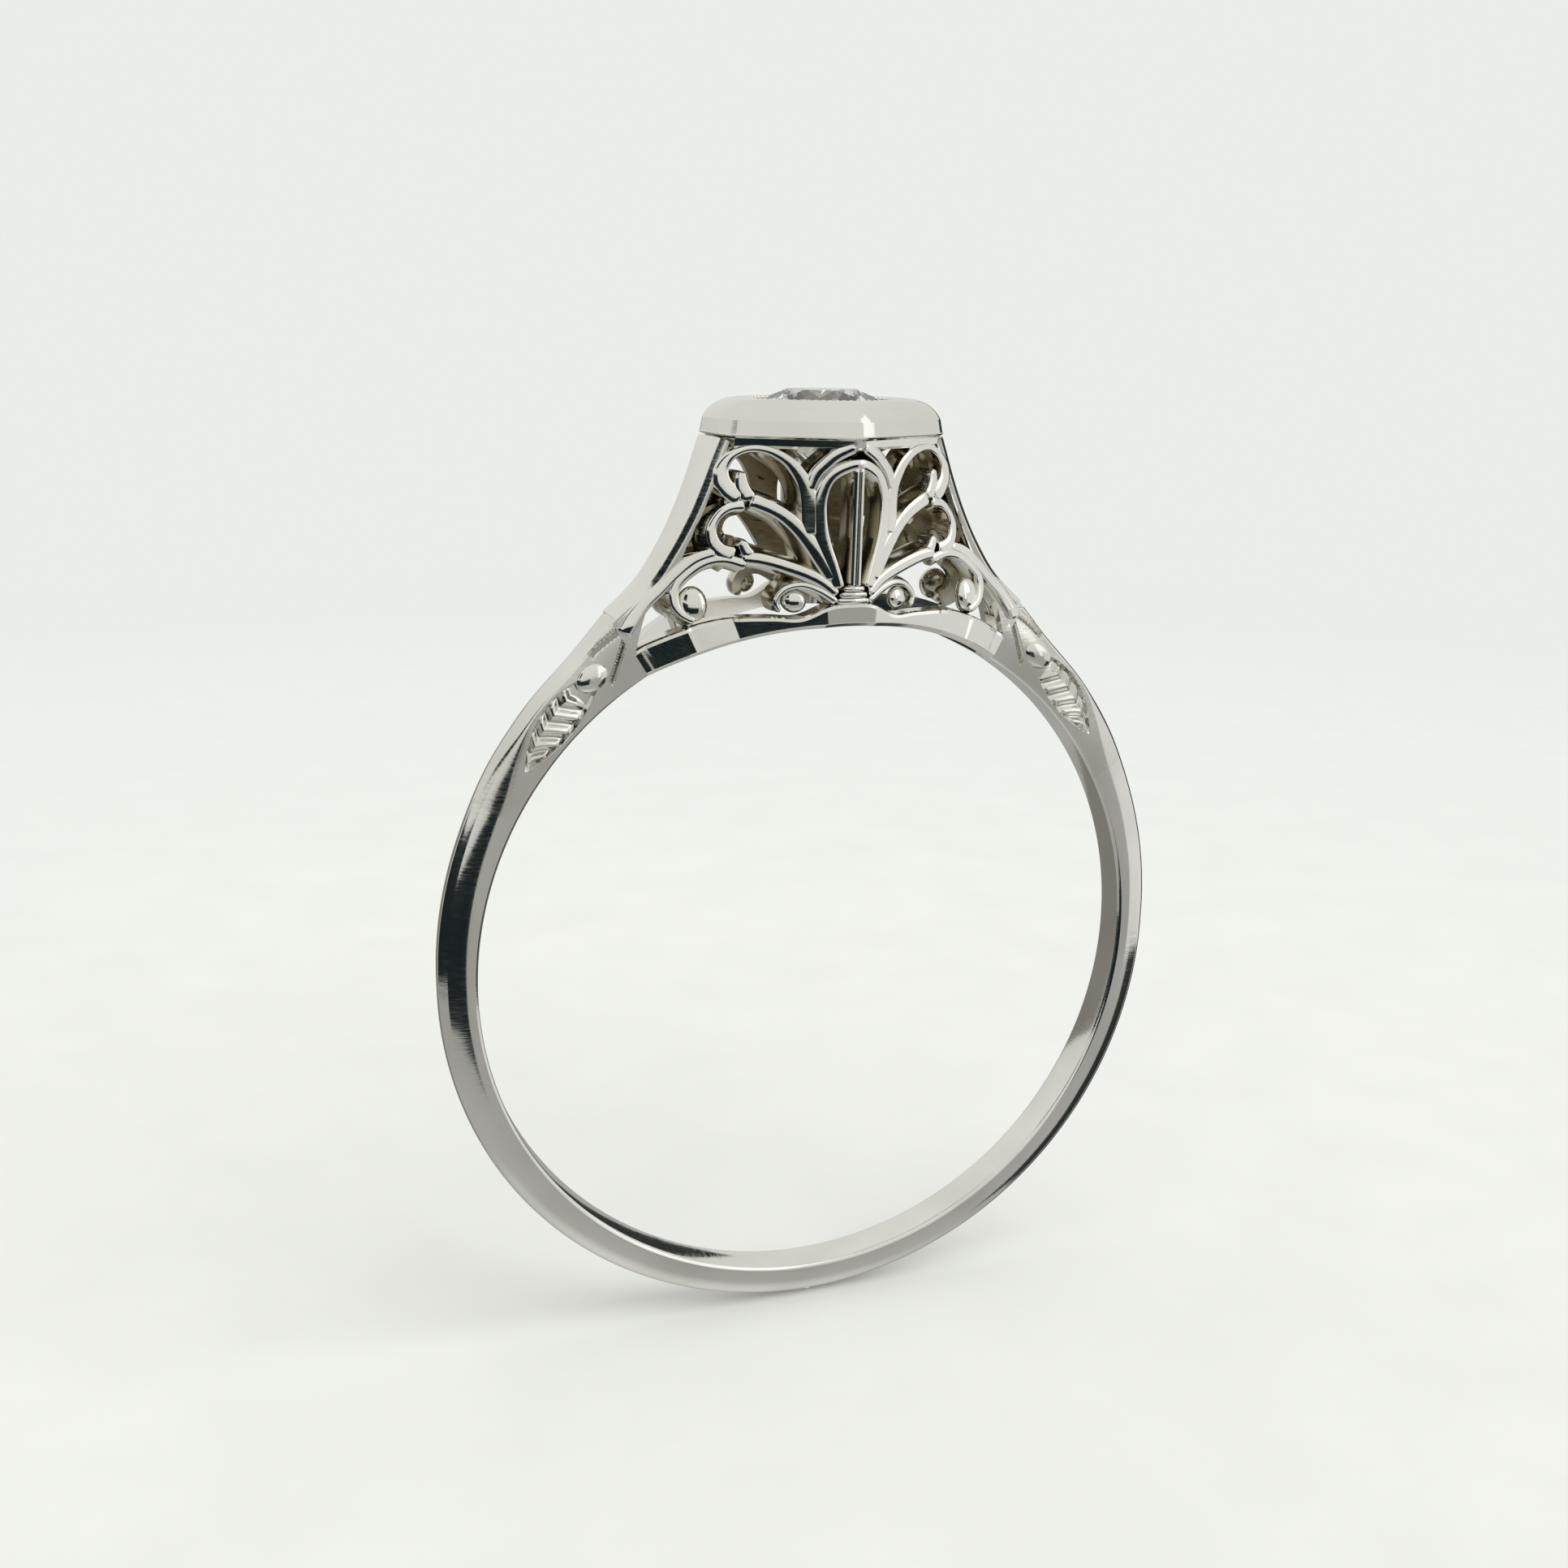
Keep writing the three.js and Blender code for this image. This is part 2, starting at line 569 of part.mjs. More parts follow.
addPiece('shank', makeShank(), materials.band);
addPiece('collar', makeCollar(), materials.collar);
addPiece('stone_plate', makeStonePlate(), materials.plate);
addPiece('centre_diamond', makeDiamond(), materials.stone);
for (let i = 0; i < GRAIN_COUNT; i += 1) {
  addPiece(`grain_${i + 1}`, makeGrain(i), materials.plate);
}
for (const [sideName, side] of sides) {
  addPiece(`shoulder_${sideName}`, makeShoulder(side), materials.shoulder);
  addPiece(`side_panel_${sideName}`, makeSidePanel(side), materials.filigree);
}
for (const [faceName, front] of faces) {
  addPiece(`rail_${faceName}`, makeRail(front), materials.collar);
  addPiece(`${faceName}_lotus_base`, makeLotusBase(front), materials.filigree);
  const centreLeaf = layOnFace(ribbon(centreLeafLine, STRAND_WIDTH, 28), 1, front);
  const midrib = layOnFace(ribbon(midribLine, STRAND_WIDTH, 4), 1, front);
  addPiece(`${faceName}_centre_leaf`, centreLeaf, materials.filigree);
  addPiece(`${faceName}_midrib`, midrib, materials.filigree);
  addPiece(`${faceName}_top_rail`, makeTopRail(front), materials.filigree);
  for (const [sideName, side] of sides) {
    addPiece(`post_${faceName}_${sideName}`, makePost(side, front), materials.filigree);
    addHalfFace(faceName, sideName, side, front);
  }
}

export default group;
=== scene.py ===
import math

import bpy
import numpy as np
from mathutils import Matrix, Vector


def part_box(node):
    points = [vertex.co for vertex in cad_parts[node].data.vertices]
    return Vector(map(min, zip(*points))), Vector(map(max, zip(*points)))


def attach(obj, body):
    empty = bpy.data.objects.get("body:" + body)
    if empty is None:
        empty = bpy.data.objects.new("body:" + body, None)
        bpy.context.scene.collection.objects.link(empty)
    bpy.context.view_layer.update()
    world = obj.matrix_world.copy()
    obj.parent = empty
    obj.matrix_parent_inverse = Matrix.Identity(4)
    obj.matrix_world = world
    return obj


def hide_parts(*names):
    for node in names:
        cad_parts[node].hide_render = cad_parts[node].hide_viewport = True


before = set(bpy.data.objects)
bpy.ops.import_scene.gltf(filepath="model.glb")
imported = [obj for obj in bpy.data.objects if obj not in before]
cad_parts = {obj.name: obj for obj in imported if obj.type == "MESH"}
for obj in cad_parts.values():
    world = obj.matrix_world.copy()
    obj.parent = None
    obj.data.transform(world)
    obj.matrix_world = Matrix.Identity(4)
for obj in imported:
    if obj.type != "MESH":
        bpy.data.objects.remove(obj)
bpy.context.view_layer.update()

# Filigree engagement ring: white gold, hexagonal head, round stone. Shapes are written in millimetres and
# scaled to metres when a mesh is made. The finger hole's axis is Y, the head stands on +Z, -Y is the front.
MM = 0.001


def corners(node):
    """Lowest and highest corner of a CAD node, in millimetres."""
    low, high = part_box(node)
    return np.array(low) / MM, np.array(high) / MM


# ---------------------------------------------------------------- sizes taken from the CAD nodes
band_low, band_high = corners("shank")
collar_low, collar_high = corners("collar")
plate_low, plate_high = corners("stone_plate")
stone_low, stone_high = corners("centre_diamond")

HOLE_RADIUS = 8.5
RIDGE_RADIUS = 9.4
BAND_HALF = band_high[1]
PLATE_TOP = plate_high[2]
STONE_RADIUS = stone_high[0]
COLLAR_BOTTOM, COLLAR_TOP = collar_low[2], collar_high[2]

# the shoulders run between these angles from the top of the ring
SHOULDER_START, SHOULDER_END = 62.0, 31.0
SHOULDER_HALF = 0.6

# hexagonal plan of the collar: distance to its flats, to its front vertex, and slope of its slanted sides
COLLAR_FLAT, COLLAR_VERTEX, COLLAR_SLOPE = 2.72, 2.75, 0.61
CORNER_SHARPNESS = 16

# plan of the head at its base, which the front and back faces rise from
HEAD_BASE_Z, HEAD_BASE_DEPTH, HEAD_BASE_SLOPE = 8.5, 2.42, 0.345
VERTEX_SET_BACK = 0.12
EDGE_SOFTNESS, EDGE_SINK = 0.02, 0.05
FACE_INSET, FLUSH_GAP = 0.02, 0.01
WIRE_DEPTH = 0.68


# ---------------------------------------------------------------- curves
def smooth_line(points, count):
    """Evenly spaced points on the Catmull-Rom curve through the given ones."""
    given = np.array(points, float)
    padded = np.vstack([given[:1], given, given[-1:]])
    steps = np.linspace(0, 1, 24, endpoint=False)[:, None]
    dense = []
    for a, b, c, d in zip(padded, padded[1:], padded[2:], padded[3:]):
        leave, arrive = (c - a) / 2, (d - b) / 2
        dense.append(
            (2 * b - 2 * c + leave + arrive) * steps ** 3
            + (3 * c - 3 * b - 2 * leave - arrive) * steps ** 2
            + leave * steps + b
        )
    dense = np.vstack(dense + [given[-1:]])
    length = np.concatenate([[0], np.cumsum(np.linalg.norm(np.diff(dense, axis=0), axis=1))])
    at = np.linspace(0, length[-1], count)
    return np.stack([np.interp(at, length, dense[:, k]) for k in range(dense.shape[1])], axis=1)


def smooth_value(pairs):
    """A smooth function through (place, value) pairs, held level outside them."""
    line = smooth_line(pairs, 200)
    return lambda place: np.interp(place, line[:, 0], line[:, 1])


def ramp(value, low, high):
    """Smooth step from 0 at low to 1 at high."""
    share = np.clip((np.asarray(value, float) - low) / (high - low), 0, 1)
    return share * share * (3 - 2 * share)


def tangents(line):
    """Unit direction along a line at each of its points."""
    step = np.gradient(line, axis=0)
    return step / np.linalg.norm(step, axis=1, keepdims=True)


# radius of the band's outer ridge by angle from the top
ridge_from_top = smooth_value([
    (31, 10.13), (38, 9.82), (47, 9.7), (57, 9.64), (68, 9.52), (90, RIDGE_RADIUS),
])


def face_depth(x, z):
    """Distance of the head's front face from the ring's middle plane."""
    height = np.clip((z - HEAD_BASE_Z) / (COLLAR_BOTTOM - HEAD_BASE_Z), 0, 1)
    middle = HEAD_BASE_DEPTH + (COLLAR_VERTEX - VERTEX_SET_BACK - HEAD_BASE_DEPTH) * height
    slope = HEAD_BASE_SLOPE + (COLLAR_SLOPE - HEAD_BASE_SLOPE) * height
    across = np.sqrt(np.square(x) + EDGE_SOFTNESS) - EDGE_SINK
    return np.maximum(middle - slope * across, SHOULDER_HALF)


# the end wall seen from the front, from the collar down to the shoulder
WALL_LINE = smooth_line([
    [2.76, COLLAR_BOTTOM], [2.92, 12.3], [3.14, 11.7], [3.46, 10.95], [3.86, 10.2], [4.42, 9.4], [5.2, 8.7],
], 150)


# ---------------------------------------------------------------- mesh making
# edges at least this sharp are not smoothed over; the finer ones are for strips with slight bevels
SHARP_ANGLE, FINE_ANGLE, COLLAR_ANGLE = math.radians(28), math.radians(12), math.radians(13)


def hollow_shade_share(points):
    """How far inside the head each point lies, from 0 on its outer faces to 1 well within: the share of
    painted shade, with a warm patina tint, that the gold gets there.
    """
    x, y, z = np.abs(points[:, 0]), np.abs(points[:, 1]), points[:, 2]
    behind_face = ramp(face_depth(x, z) - y, 0.12, 0.5)
    within_walls = ramp(np.interp(-z, -WALL_LINE[:, 1], WALL_LINE[:, 0]) - x, 0.08, 0.2)
    in_head = ramp(z, 8.4, 9.0) * (1 - ramp(z, 12.9, 13.2))
    return behind_face * within_walls * in_head


def make_mesh(name, points, faces, material, node=None, sharp=SHARP_ANGLE):
    """One piece from points in millimetres, which may stand for a CAD node and take a material slot."""
    mesh = bpy.data.meshes.new(name)
    points = np.asarray(points, float).reshape(-1, 3)
    mesh.from_pydata((points * MM).tolist(), [], faces)
    mesh.validate()
    mesh.polygons.foreach_set("use_smooth", [True] * len(mesh.polygons))
    if sharp is not None:
        mesh.set_sharp_from_angle(angle=sharp)
    # depth inside the head, kept as an attribute that drives the gold's painted shade and warm patina tint
    shade = mesh.attributes.new("patina_and_shade", "FLOAT", "POINT")
    shade.data.foreach_set("value", hollow_shade_share(points).astype(np.float32))
    piece = bpy.data.objects.new(name, mesh)
    bpy.context.scene.collection.objects.link(piece)
    mesh.materials.append(material)
    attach(piece, "root")
    if node:
        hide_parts(node)
    return piece


def grid_faces(rows, columns, wrap_rows=False, wrap_columns=True):
    """Four-sided faces between the points of a grid stored row by row."""
    faces = []
    for i in range(rows if wrap_rows else rows - 1):
        below, above = i * columns, ((i + 1) % rows) * columns
        for j in range(columns if wrap_columns else columns - 1):
            k = (j + 1) % columns
            faces.append((below + j, below + k, above + k, above + j))
    return faces


def loft(rings, wrap=False):
    """Points and faces of a tube through closed rings, with flat ends unless it wraps round."""
    rings = np.asarray(rings, float)
    rows, columns = rings.shape[:2]
    faces = grid_faces(rows, columns, wrap_rows=wrap)
    if not wrap:
        faces.append(tuple(range(columns - 1, -1, -1)))
        faces.append(tuple(range((rows - 1) * columns, rows * columns)))
    return rings.reshape(-1, 3), face_outward(rings.reshape(-1, 3), faces)


def face_outward(points, faces):
    """Turns every face over if the closed body they make has a negative volume."""
    volume = 0.0
    for size in {len(face) for face in faces}:
        same = np.array([face for face in faces if len(face) == size])
        for i in range(1, size - 1):
            a, b, c = (points[same[:, k]] for k in (0, i, i + 1))
            volume += np.einsum("ij,ij->", a, np.cross(b, c))
    return faces if volume > 0 else [face[::-1] for face in faces]


def join(parts):
    """Several (points, faces) bodies as one."""
    points, faces, offset = [], [], 0
    for some_points, some_faces in parts:
        points.append(some_points)
        faces += [tuple(i + offset for i in face) for face in some_faces]
        offset += len(some_points)
    return np.vstack(points), faces


def ball(centre, radii, rows=12, columns=20, turn=None):
    """A closed ellipsoid; turn is a 3x3 matrix that aims its axes."""
    rings = []
    for i in range(1, rows):
        polar = math.pi * i / rows
        around = np.linspace(0, 2 * math.pi, columns, endpoint=False)
        rings.append(np.stack([
            math.sin(polar) * np.cos(around), math.sin(polar) * np.sin(around),
            np.full(columns, math.cos(polar)),
        ], axis=1))
    points = np.vstack(rings + [[[0, 0, 1]], [[0, 0, -1]]]) * np.array(radii)
    if turn is not None:
        points = points @ np.array(turn).T
    top, bottom = (rows - 1) * columns, (rows - 1) * columns + 1
    faces = grid_faces(rows - 1, columns)
    last = (rows - 2) * columns
    for j in range(columns):
        k = (j + 1) % columns
        faces.append((top, k, j))
        faces.append((bottom, last + j, last + k))
    points = points + np.array(centre)
    return points, face_outward(points, faces)


# ---------------------------------------------------------------- materials
def new_material(name):
    """A node material with its tree's nodes and links and its Principled shader."""
    material = bpy.data.materials.new(name)
    material.use_nodes = True
    nodes, links = material.node_tree.nodes, material.node_tree.links
    return material, nodes, links, nodes["Principled BSDF"]


def add_noise(nodes, links, scale, detail=3.0, stretch=(1, 1, 1)):
    """Noise in the piece's own coordinates; scale counts cells in a metre."""
    place = nodes.new("ShaderNodeTexCoord")
    mapping = nodes.new("ShaderNodeMapping")
    mapping.inputs["Scale"].default_value = stretch
    noise = nodes.new("ShaderNodeTexNoise")
    noise.inputs["Scale"].default_value = scale
    noise.inputs["Detail"].default_value = detail
    links.new(place.outputs["Object"], mapping.inputs["Vector"])
    links.new(mapping.outputs["Vector"], noise.inputs["Vector"])
    return noise.outputs["Fac"]


def add_range(nodes, links, value, low, high, to_low, to_high):
    """A value carried from one range to another."""
    remap = nodes.new("ShaderNodeMapRange")
    for socket, number in zip(("From Min", "From Max", "To Min", "To Max"), (low, high, to_low, to_high)):
        remap.inputs[socket].default_value = number
    links.new(value, remap.inputs["Value"])
    return remap.outputs["Result"]


def add_mix(nodes, links, factor, first, second):
    """Mix of two colours, each given as a colour or as a socket."""
    mix = nodes.new("ShaderNodeMix")
    mix.data_type = "RGBA"
    links.new(factor, mix.inputs["Factor"])
    for socket, colour in ((mix.inputs["A"], first), (mix.inputs["B"], second)):
        if isinstance(colour, tuple):
            socket.default_value = (*colour, 1)
        else:
            links.new(colour, socket)
    return mix.outputs["Result"]


def add_bump(nodes, links, height, distance, under=None):
    """Normals pushed about by a height map of so many millimetres, on top of another bump if one is given."""
    bump = nodes.new("ShaderNodeBump")
    bump.inputs["Strength"].default_value = 1.0
    bump.inputs["Distance"].default_value = distance * MM
    links.new(height, bump.inputs["Height"])
    if under is not None:
        links.new(under, bump.inputs["Normal"])
    return bump.outputs["Normal"]


# noise scales of the gold, in cells per metre, and what the hollows of the head do to it: painted shade with
# a warm patina tint, and a duller finish
DRIFT_SCALE, PATINA_PATCH_SCALE, HAIRLINE_SCALE, SWELL_SCALE = 420, 2600, 3500, 700
PATINA_AND_SHADE_COLOUR, HOLLOW_DULLNESS = (0.44, 0.39, 0.275), 0.12


def make_gold(name, pale, deep, smooth, rough, wave, scratch):
    """Polished white gold with colour drift, hairline scratches, faint waves, and hollows darkened by painted
    shade with a warm patina tint and a duller finish.
    """
    material, nodes, links, shader = new_material(name)
    shader.inputs["Metallic"].default_value = 1.0
    drift = add_noise(nodes, links, DRIFT_SCALE, 2.0)
    colour = add_mix(nodes, links, add_range(nodes, links, drift, 0.35, 0.65, 0, 1), pale, deep)
    patina_and_shade = nodes.new("ShaderNodeAttribute")
    patina_and_shade.attribute_name = "patina_and_shade"
    # patches that vary the painted shade and patina tint in the hollows
    patina_patches = add_noise(nodes, links, PATINA_PATCH_SCALE, 4.0)
    spotty = add_range(nodes, links, patina_patches, 0.3, 0.7, 0.75, 1.0)
    share = nodes.new("ShaderNodeMath")
    share.operation = "MULTIPLY"
    links.new(patina_and_shade.outputs["Fac"], share.inputs[0])
    links.new(spotty, share.inputs[1])
    # colour pulled towards a dark warm tone deep in the head: painted shade with a patina tint
    tinted = add_mix(nodes, links, share.outputs["Value"], colour, PATINA_AND_SHADE_COLOUR)
    links.new(tinted, shader.inputs["Base Color"])
    hairline = add_noise(nodes, links, HAIRLINE_SCALE, 2.0, stretch=(1.0, 1.0, 9.0))
    worn = add_range(nodes, links, hairline, 0.3, 0.75, smooth, rough)
    duller = nodes.new("ShaderNodeMath")
    duller.operation = "MULTIPLY_ADD"
    links.new(share.outputs["Value"], duller.inputs[0])
    duller.inputs[1].default_value = HOLLOW_DULLNESS
    links.new(worn, duller.inputs[2])
    links.new(duller.outputs["Value"], shader.inputs["Roughness"])
    waves = add_bump(nodes, links, add_noise(nodes, links, SWELL_SCALE, 1.0), wave)
    links.new(add_bump(nodes, links, hairline, scratch, under=waves), shader.inputs["Normal"])
    return material


def make_diamond_material():
    """Clear stone with the faintest blue cloud."""
    material, nodes, links, shader = new_material("diamond_clear")
    shader.inputs["Transmission Weight"].default_value = 1.0
    shader.inputs["IOR"].default_value = 2.417
    shader.inputs["Roughness"].default_value = 0.0
    cloud = add_noise(nodes, links, 1500, 4.0)
    colour = add_mix(nodes, links, add_range(nodes, links, cloud, 0.35, 0.7, 0, 1),
                     (1.0, 1.0, 1.0), (0.965, 0.98, 1.0))
    links.new(colour, shader.inputs["Base Color"])
    return material


BAND_GOLD = make_gold("white_gold_band", (0.83, 0.82, 0.785), (0.74, 0.73, 0.69),
                      smooth=0.06, rough=0.17, wave=0.012, scratch=0.0006)
SHOULDER_GOLD = make_gold("white_gold_shoulder", (0.82, 0.81, 0.77), (0.70, 0.69, 0.64),
                          smooth=0.08, rough=0.22, wave=0.03, scratch=0.0008)
WIRE_GOLD = make_gold("white_gold_gallery", (0.86, 0.855, 0.82), (0.78, 0.77, 0.72),
                      smooth=0.05, rough=0.15, wave=0.02, scratch=0.0003)
COLLAR_GOLD = make_gold("white_gold_collar", (0.80, 0.795, 0.755), (0.75, 0.745, 0.70),
                        smooth=0.08, rough=0.16, wave=0.014, scratch=0.0004)
PLATE_GOLD = make_gold("white_gold_plate", (0.90, 0.895, 0.87), (0.80, 0.79, 0.75),
                       smooth=0.04, rough=0.16, wave=0.012, scratch=0.0012)
DIAMOND = make_diamond_material()


# ---------------------------------------------------------------- shank and shoulders
# rounding of the hole's edge: its height, how much of that a shoulder loses, and its width for that height
COMFORT, COMFORT_LOSS, COMFORT_WIDTH = 0.13, 0.25, 0.8
# height of the domed outside, and how full the dome is (1 is an ellipse)
BAND_CROWN, SHOULDER_CROWN, CROWN_FULLNESS = 0.72, 0.14, 0.9
# how far a shoulder's side face draws in towards its edges
SHOULDER_BELLY = 0.055


def shoulder_share(degrees):
    """How much of the shoulder's shape the band has at an angle from the top."""
    return np.clip((SHOULDER_START - degrees) / (SHOULDER_START - SHOULDER_END), 0, 1)


def band_section(degrees, side_steps):
    """Closed section (across, radius) of the band at an angle from the top, and its half width there."""
    share = shoulder_share(degrees)
    half = BAND_HALF + (SHOULDER_HALF - BAND_HALF) * share
    crown = BAND_CROWN + (SHOULDER_CROWN - BAND_CROWN) * ramp(share, 0.0, 0.5)
    wall_top = float(ridge_from_top(degrees)) - crown
    comfort = COMFORT * (1 - COMFORT_LOSS * share)
    belly = SHOULDER_BELLY * share
    turn = np.linspace(0, math.pi / 2, 7)
    foot_across = half - comfort * (1 - np.sin(turn)) * COMFORT_WIDTH
    foot = np.stack([foot_across, HOLE_RADIUS + comfort * (1 - np.cos(turn))], axis=1)
    climb = np.linspace(0, 1, side_steps + 1)[1:]
    wall_across = half - belly * np.square(2 * climb - 1)
    wall = np.stack([wall_across, foot[-1, 1] + (wall_top - foot[-1, 1]) * climb], axis=1)
    foot[:, 0] -= belly
    arc = np.linspace(0, math.pi, 33)[1:-1]
    dome_across = (half - belly) * np.sign(np.cos(arc)) * np.abs(np.cos(arc)) ** CROWN_FULLNESS
    dome = np.stack([dome_across, wall_top + crown * np.sin(arc)], axis=1)
    right = np.vstack([foot, wall])
    left = right[::-1] * np.array([-1, 1])
    return np.vstack([right, dome, left]), half


def band_rings(angles, side_steps, carve=None):
    """Sections of the band at angles from the top, with their side faces cut in by carve."""
    rings = []
    for angle in angles:
        section, half = band_section(min(abs(angle), 360 - abs(angle)), side_steps)
        turn = math.radians(angle)
        across, radius = section[:, 0].copy(), section[:, 1]
        if carve is not None:
            across = np.sign(across) * (np.abs(across) - carve(abs(angle), radius, np.abs(across), half))
        rings.append(np.stack([radius * math.sin(turn), across, radius * math.cos(turn)], axis=1))
    return rings


def make_shank():
    """The plain lower part of the band, from one shoulder round to the other."""
    angles = np.linspace(SHOULDER_START, 360 - SHOULDER_START, 320)
    points, faces = loft(band_rings(angles, 4))
    make_mesh("shank_band", points, faces, BAND_GOLD, "shank")


# carved leaf: angles of its ends, radius of its middle line at the tip and the rise from there to the root
LEAF_TIP, LEAF_ROOT = 54.5, 36.4
LEAF_MIDDLE, LEAF_RISE = 8.96, 0.26
LEAF_HALF_WIDTH, LEAF_CUT = 0.44, 0.17
CHEVRONS, CHEVRON_SKEW, CHEVRON_SWEEP, CHEVRON_HEIGHT = 7.0, 0.35, 0.7, 0.72
# petal between the leaf and the head, outlined by a groove on each side of it
PETAL_MIDDLE, PETAL_RISE, PETAL_HALF_WIDTH = 9.3, 0.38, 0.3
PETAL_CUT, GROOVE_HALF = 0.17, 0.1
BEAD_ANGLE, BEAD_PLACE, BEAD_RADII = 37.9, 9.27, (0.43, 0.21, 0.31)
# web between the end post and the outer strand: angles of its ends, radii and rise of its two edges
BRACE_START, BRACE_END = 31.4, 25.6
BRACE_LOW, BRACE_LOW_RISE = 9.05, 1.0
BRACE_HIGH, BRACE_HIGH_RISE = 10.02, 0.2
BRACE_THICKNESS = 0.3


def carve_leaf(degrees, radius, across, half):
    """How deep the side face is cut at a place: a leaf with swept ridges in it, then a petal's outline."""
    share = (LEAF_TIP - degrees) / (LEAF_TIP - LEAF_ROOT)
    on_side = ramp(across, half - 0.09, half - 0.06)
    if share < 0.0:
        return np.zeros_like(radius)
    if share > 1.0:
        along = (LEAF_ROOT - degrees) / (LEAF_ROOT - SHOULDER_END)
        petal = PETAL_HALF_WIDTH * (1 - 0.95 * along ** 1.3)
        from_middle = np.abs(radius - (PETAL_MIDDLE + PETAL_RISE * along))
        from_groove = np.abs(from_middle - petal - GROOVE_HALF)
        return PETAL_CUT * np.clip(1 - from_groove / GROOVE_HALF, 0, 1) * on_side
    width = LEAF_HALF_WIDTH * math.sin(math.pi * share ** 1.05) ** 0.85 + 0.004
    offset = (radius - (LEAF_MIDDLE + LEAF_RISE * share)) / width
    inside = 1 - ramp(np.abs(offset), 0.8, 1.0)
    phase = share * CHEVRONS - CHEVRON_SWEEP * np.abs(offset - CHEVRON_SKEW)
    ridge = np.sin(math.pi * (phase - np.floor(phase))) ** 1.6
    standing = CHEVRON_HEIGHT * ridge * ramp(np.abs(offset), 1.0, 0.7) * (1 - ramp(share, 0.66, 0.74))
    return inside * LEAF_CUT * (1.0 - standing) * on_side * ramp(share, 0.0, 0.08)


def make_brace(side, front):
    """Tapered web that carries the shoulder up between the end post and the outer strand."""
    rings = []
    for degrees in np.linspace(BRACE_START, BRACE_END, 40):
        share = (BRACE_START - degrees) / (BRACE_START - BRACE_END)
        turn = math.radians(degrees)
        radii = np.linspace(BRACE_LOW + BRACE_LOW_RISE * share, BRACE_HIGH + BRACE_HIGH_RISE * share, 15)
        x, z = radii * math.sin(turn), radii * math.cos(turn)
        y = np.full_like(x, SHOULDER_HALF - FLUSH_GAP)
        front_line = np.stack([x * side, -front * y, z], axis=1)
        back_line = front_line[::-1] + np.array([0, front * BRACE_THICKNESS, 0])
        rings.append(np.vstack([front_line, back_line]))
    return loft(rings)


def make_shoulder(name, side):
    """A carved end of the band with a bead and a web on each of its side faces."""
    angles = np.linspace(SHOULDER_START, SHOULDER_END - 0.4, 260) * side
    parts = [loft(band_rings(angles, 64, carve_leaf))]
    turn = math.radians(BEAD_ANGLE) * side
    aim = Matrix.Rotation(turn, 3, "Y")
    for front in (1, -1):
        centre = (BEAD_PLACE * math.sin(turn), -front * (SHOULDER_HALF - 0.1), BEAD_PLACE * math.cos(turn))
        parts.append(ball(centre, BEAD_RADII, 24, 40, aim))
        parts.append(make_brace(side, front))
    points, faces = join(parts)
    make_mesh(f"{name}_carved", points, faces, SHOULDER_GOLD, name)


# ---------------------------------------------------------------- gallery wires
# spacing of a wire's sections, and how much wider it is made than its listed width
WIRE_STEP, WIRE_WIDENING = 0.035, 1.1
# length and sink of its rounded ends, and the share of its depth at which its walls have spread
BLUNT_LENGTH, TIP_SINK, FLARE_AT = 0.08, 0.08, 0.62


def wire_section(half, crown, flare):
    """Section (across, depth) of a wire: a rounded top over walls that spread as they go in."""
    crown = min(crown, 1.3 * half)
    arc = np.linspace(0, math.pi, 13)
    top = np.stack([-half * np.cos(arc), crown * (1 - np.sin(arc))], axis=1)
    wall = [(half + 0.02, crown + 0.06), (half + flare, WIRE_DEPTH * FLARE_AT), (half + flare, WIRE_DEPTH)]
    return np.vstack([top, wall, [(-across, deep) for across, deep in wall[::-1]]])


def along_wire(value, place):
    """A value along a wire, given as one number or as (place, value) pairs."""
    return smooth_value(value)(place) if isinstance(value, list) else np.full(len(place), value)


def wire(line, width, crown=0.06, flare=0.1):
    """A wire along a line (x, z) of the front view, as a body in face coordinates (x, z, depth)."""
    given = np.array(line, float)
    length = np.linalg.norm(np.diff(given, axis=0), axis=1).sum()
    count = max(16, int(length / WIRE_STEP))
    centre = smooth_line(line, count)
    along = tangents(centre)
    across = np.stack([-along[:, 1], along[:, 0]], axis=1)
    place = np.linspace(0, 1, count)
    widths = WIRE_WIDENING * along_wire(width, place)
    flares = along_wire(flare, place)
    from_end = np.minimum(place, 1 - place) * length
    tip = np.sqrt(np.clip(1 - (1 - np.clip(from_end / BLUNT_LENGTH, 0, 1)) ** 2, 0.04, 1))
    rings = []
    for i in range(count):
        section = wire_section(widths[i] / 2 * tip[i], crown * tip[i], flares[i] * tip[i])
        flat = centre[i] + across[i] * section[:, :1]
        rings.append(np.column_stack([flat, section[:, 1] + TIP_SINK * (1 - tip[i])]))
    return loft(rings)


def lay_on_face(body, side, front):
    """Face coordinates (x, z, depth) to the ring's frame, mirrored to the asked side and face."""
    points, faces = body
    x, z, depth = points[:, 0], points[:, 1], points[:, 2]
    y = face_depth(x, z) - FACE_INSET - depth
    laid = np.stack([x * side, -front * y, z], axis=1)
    return laid, face_outward(laid, faces)


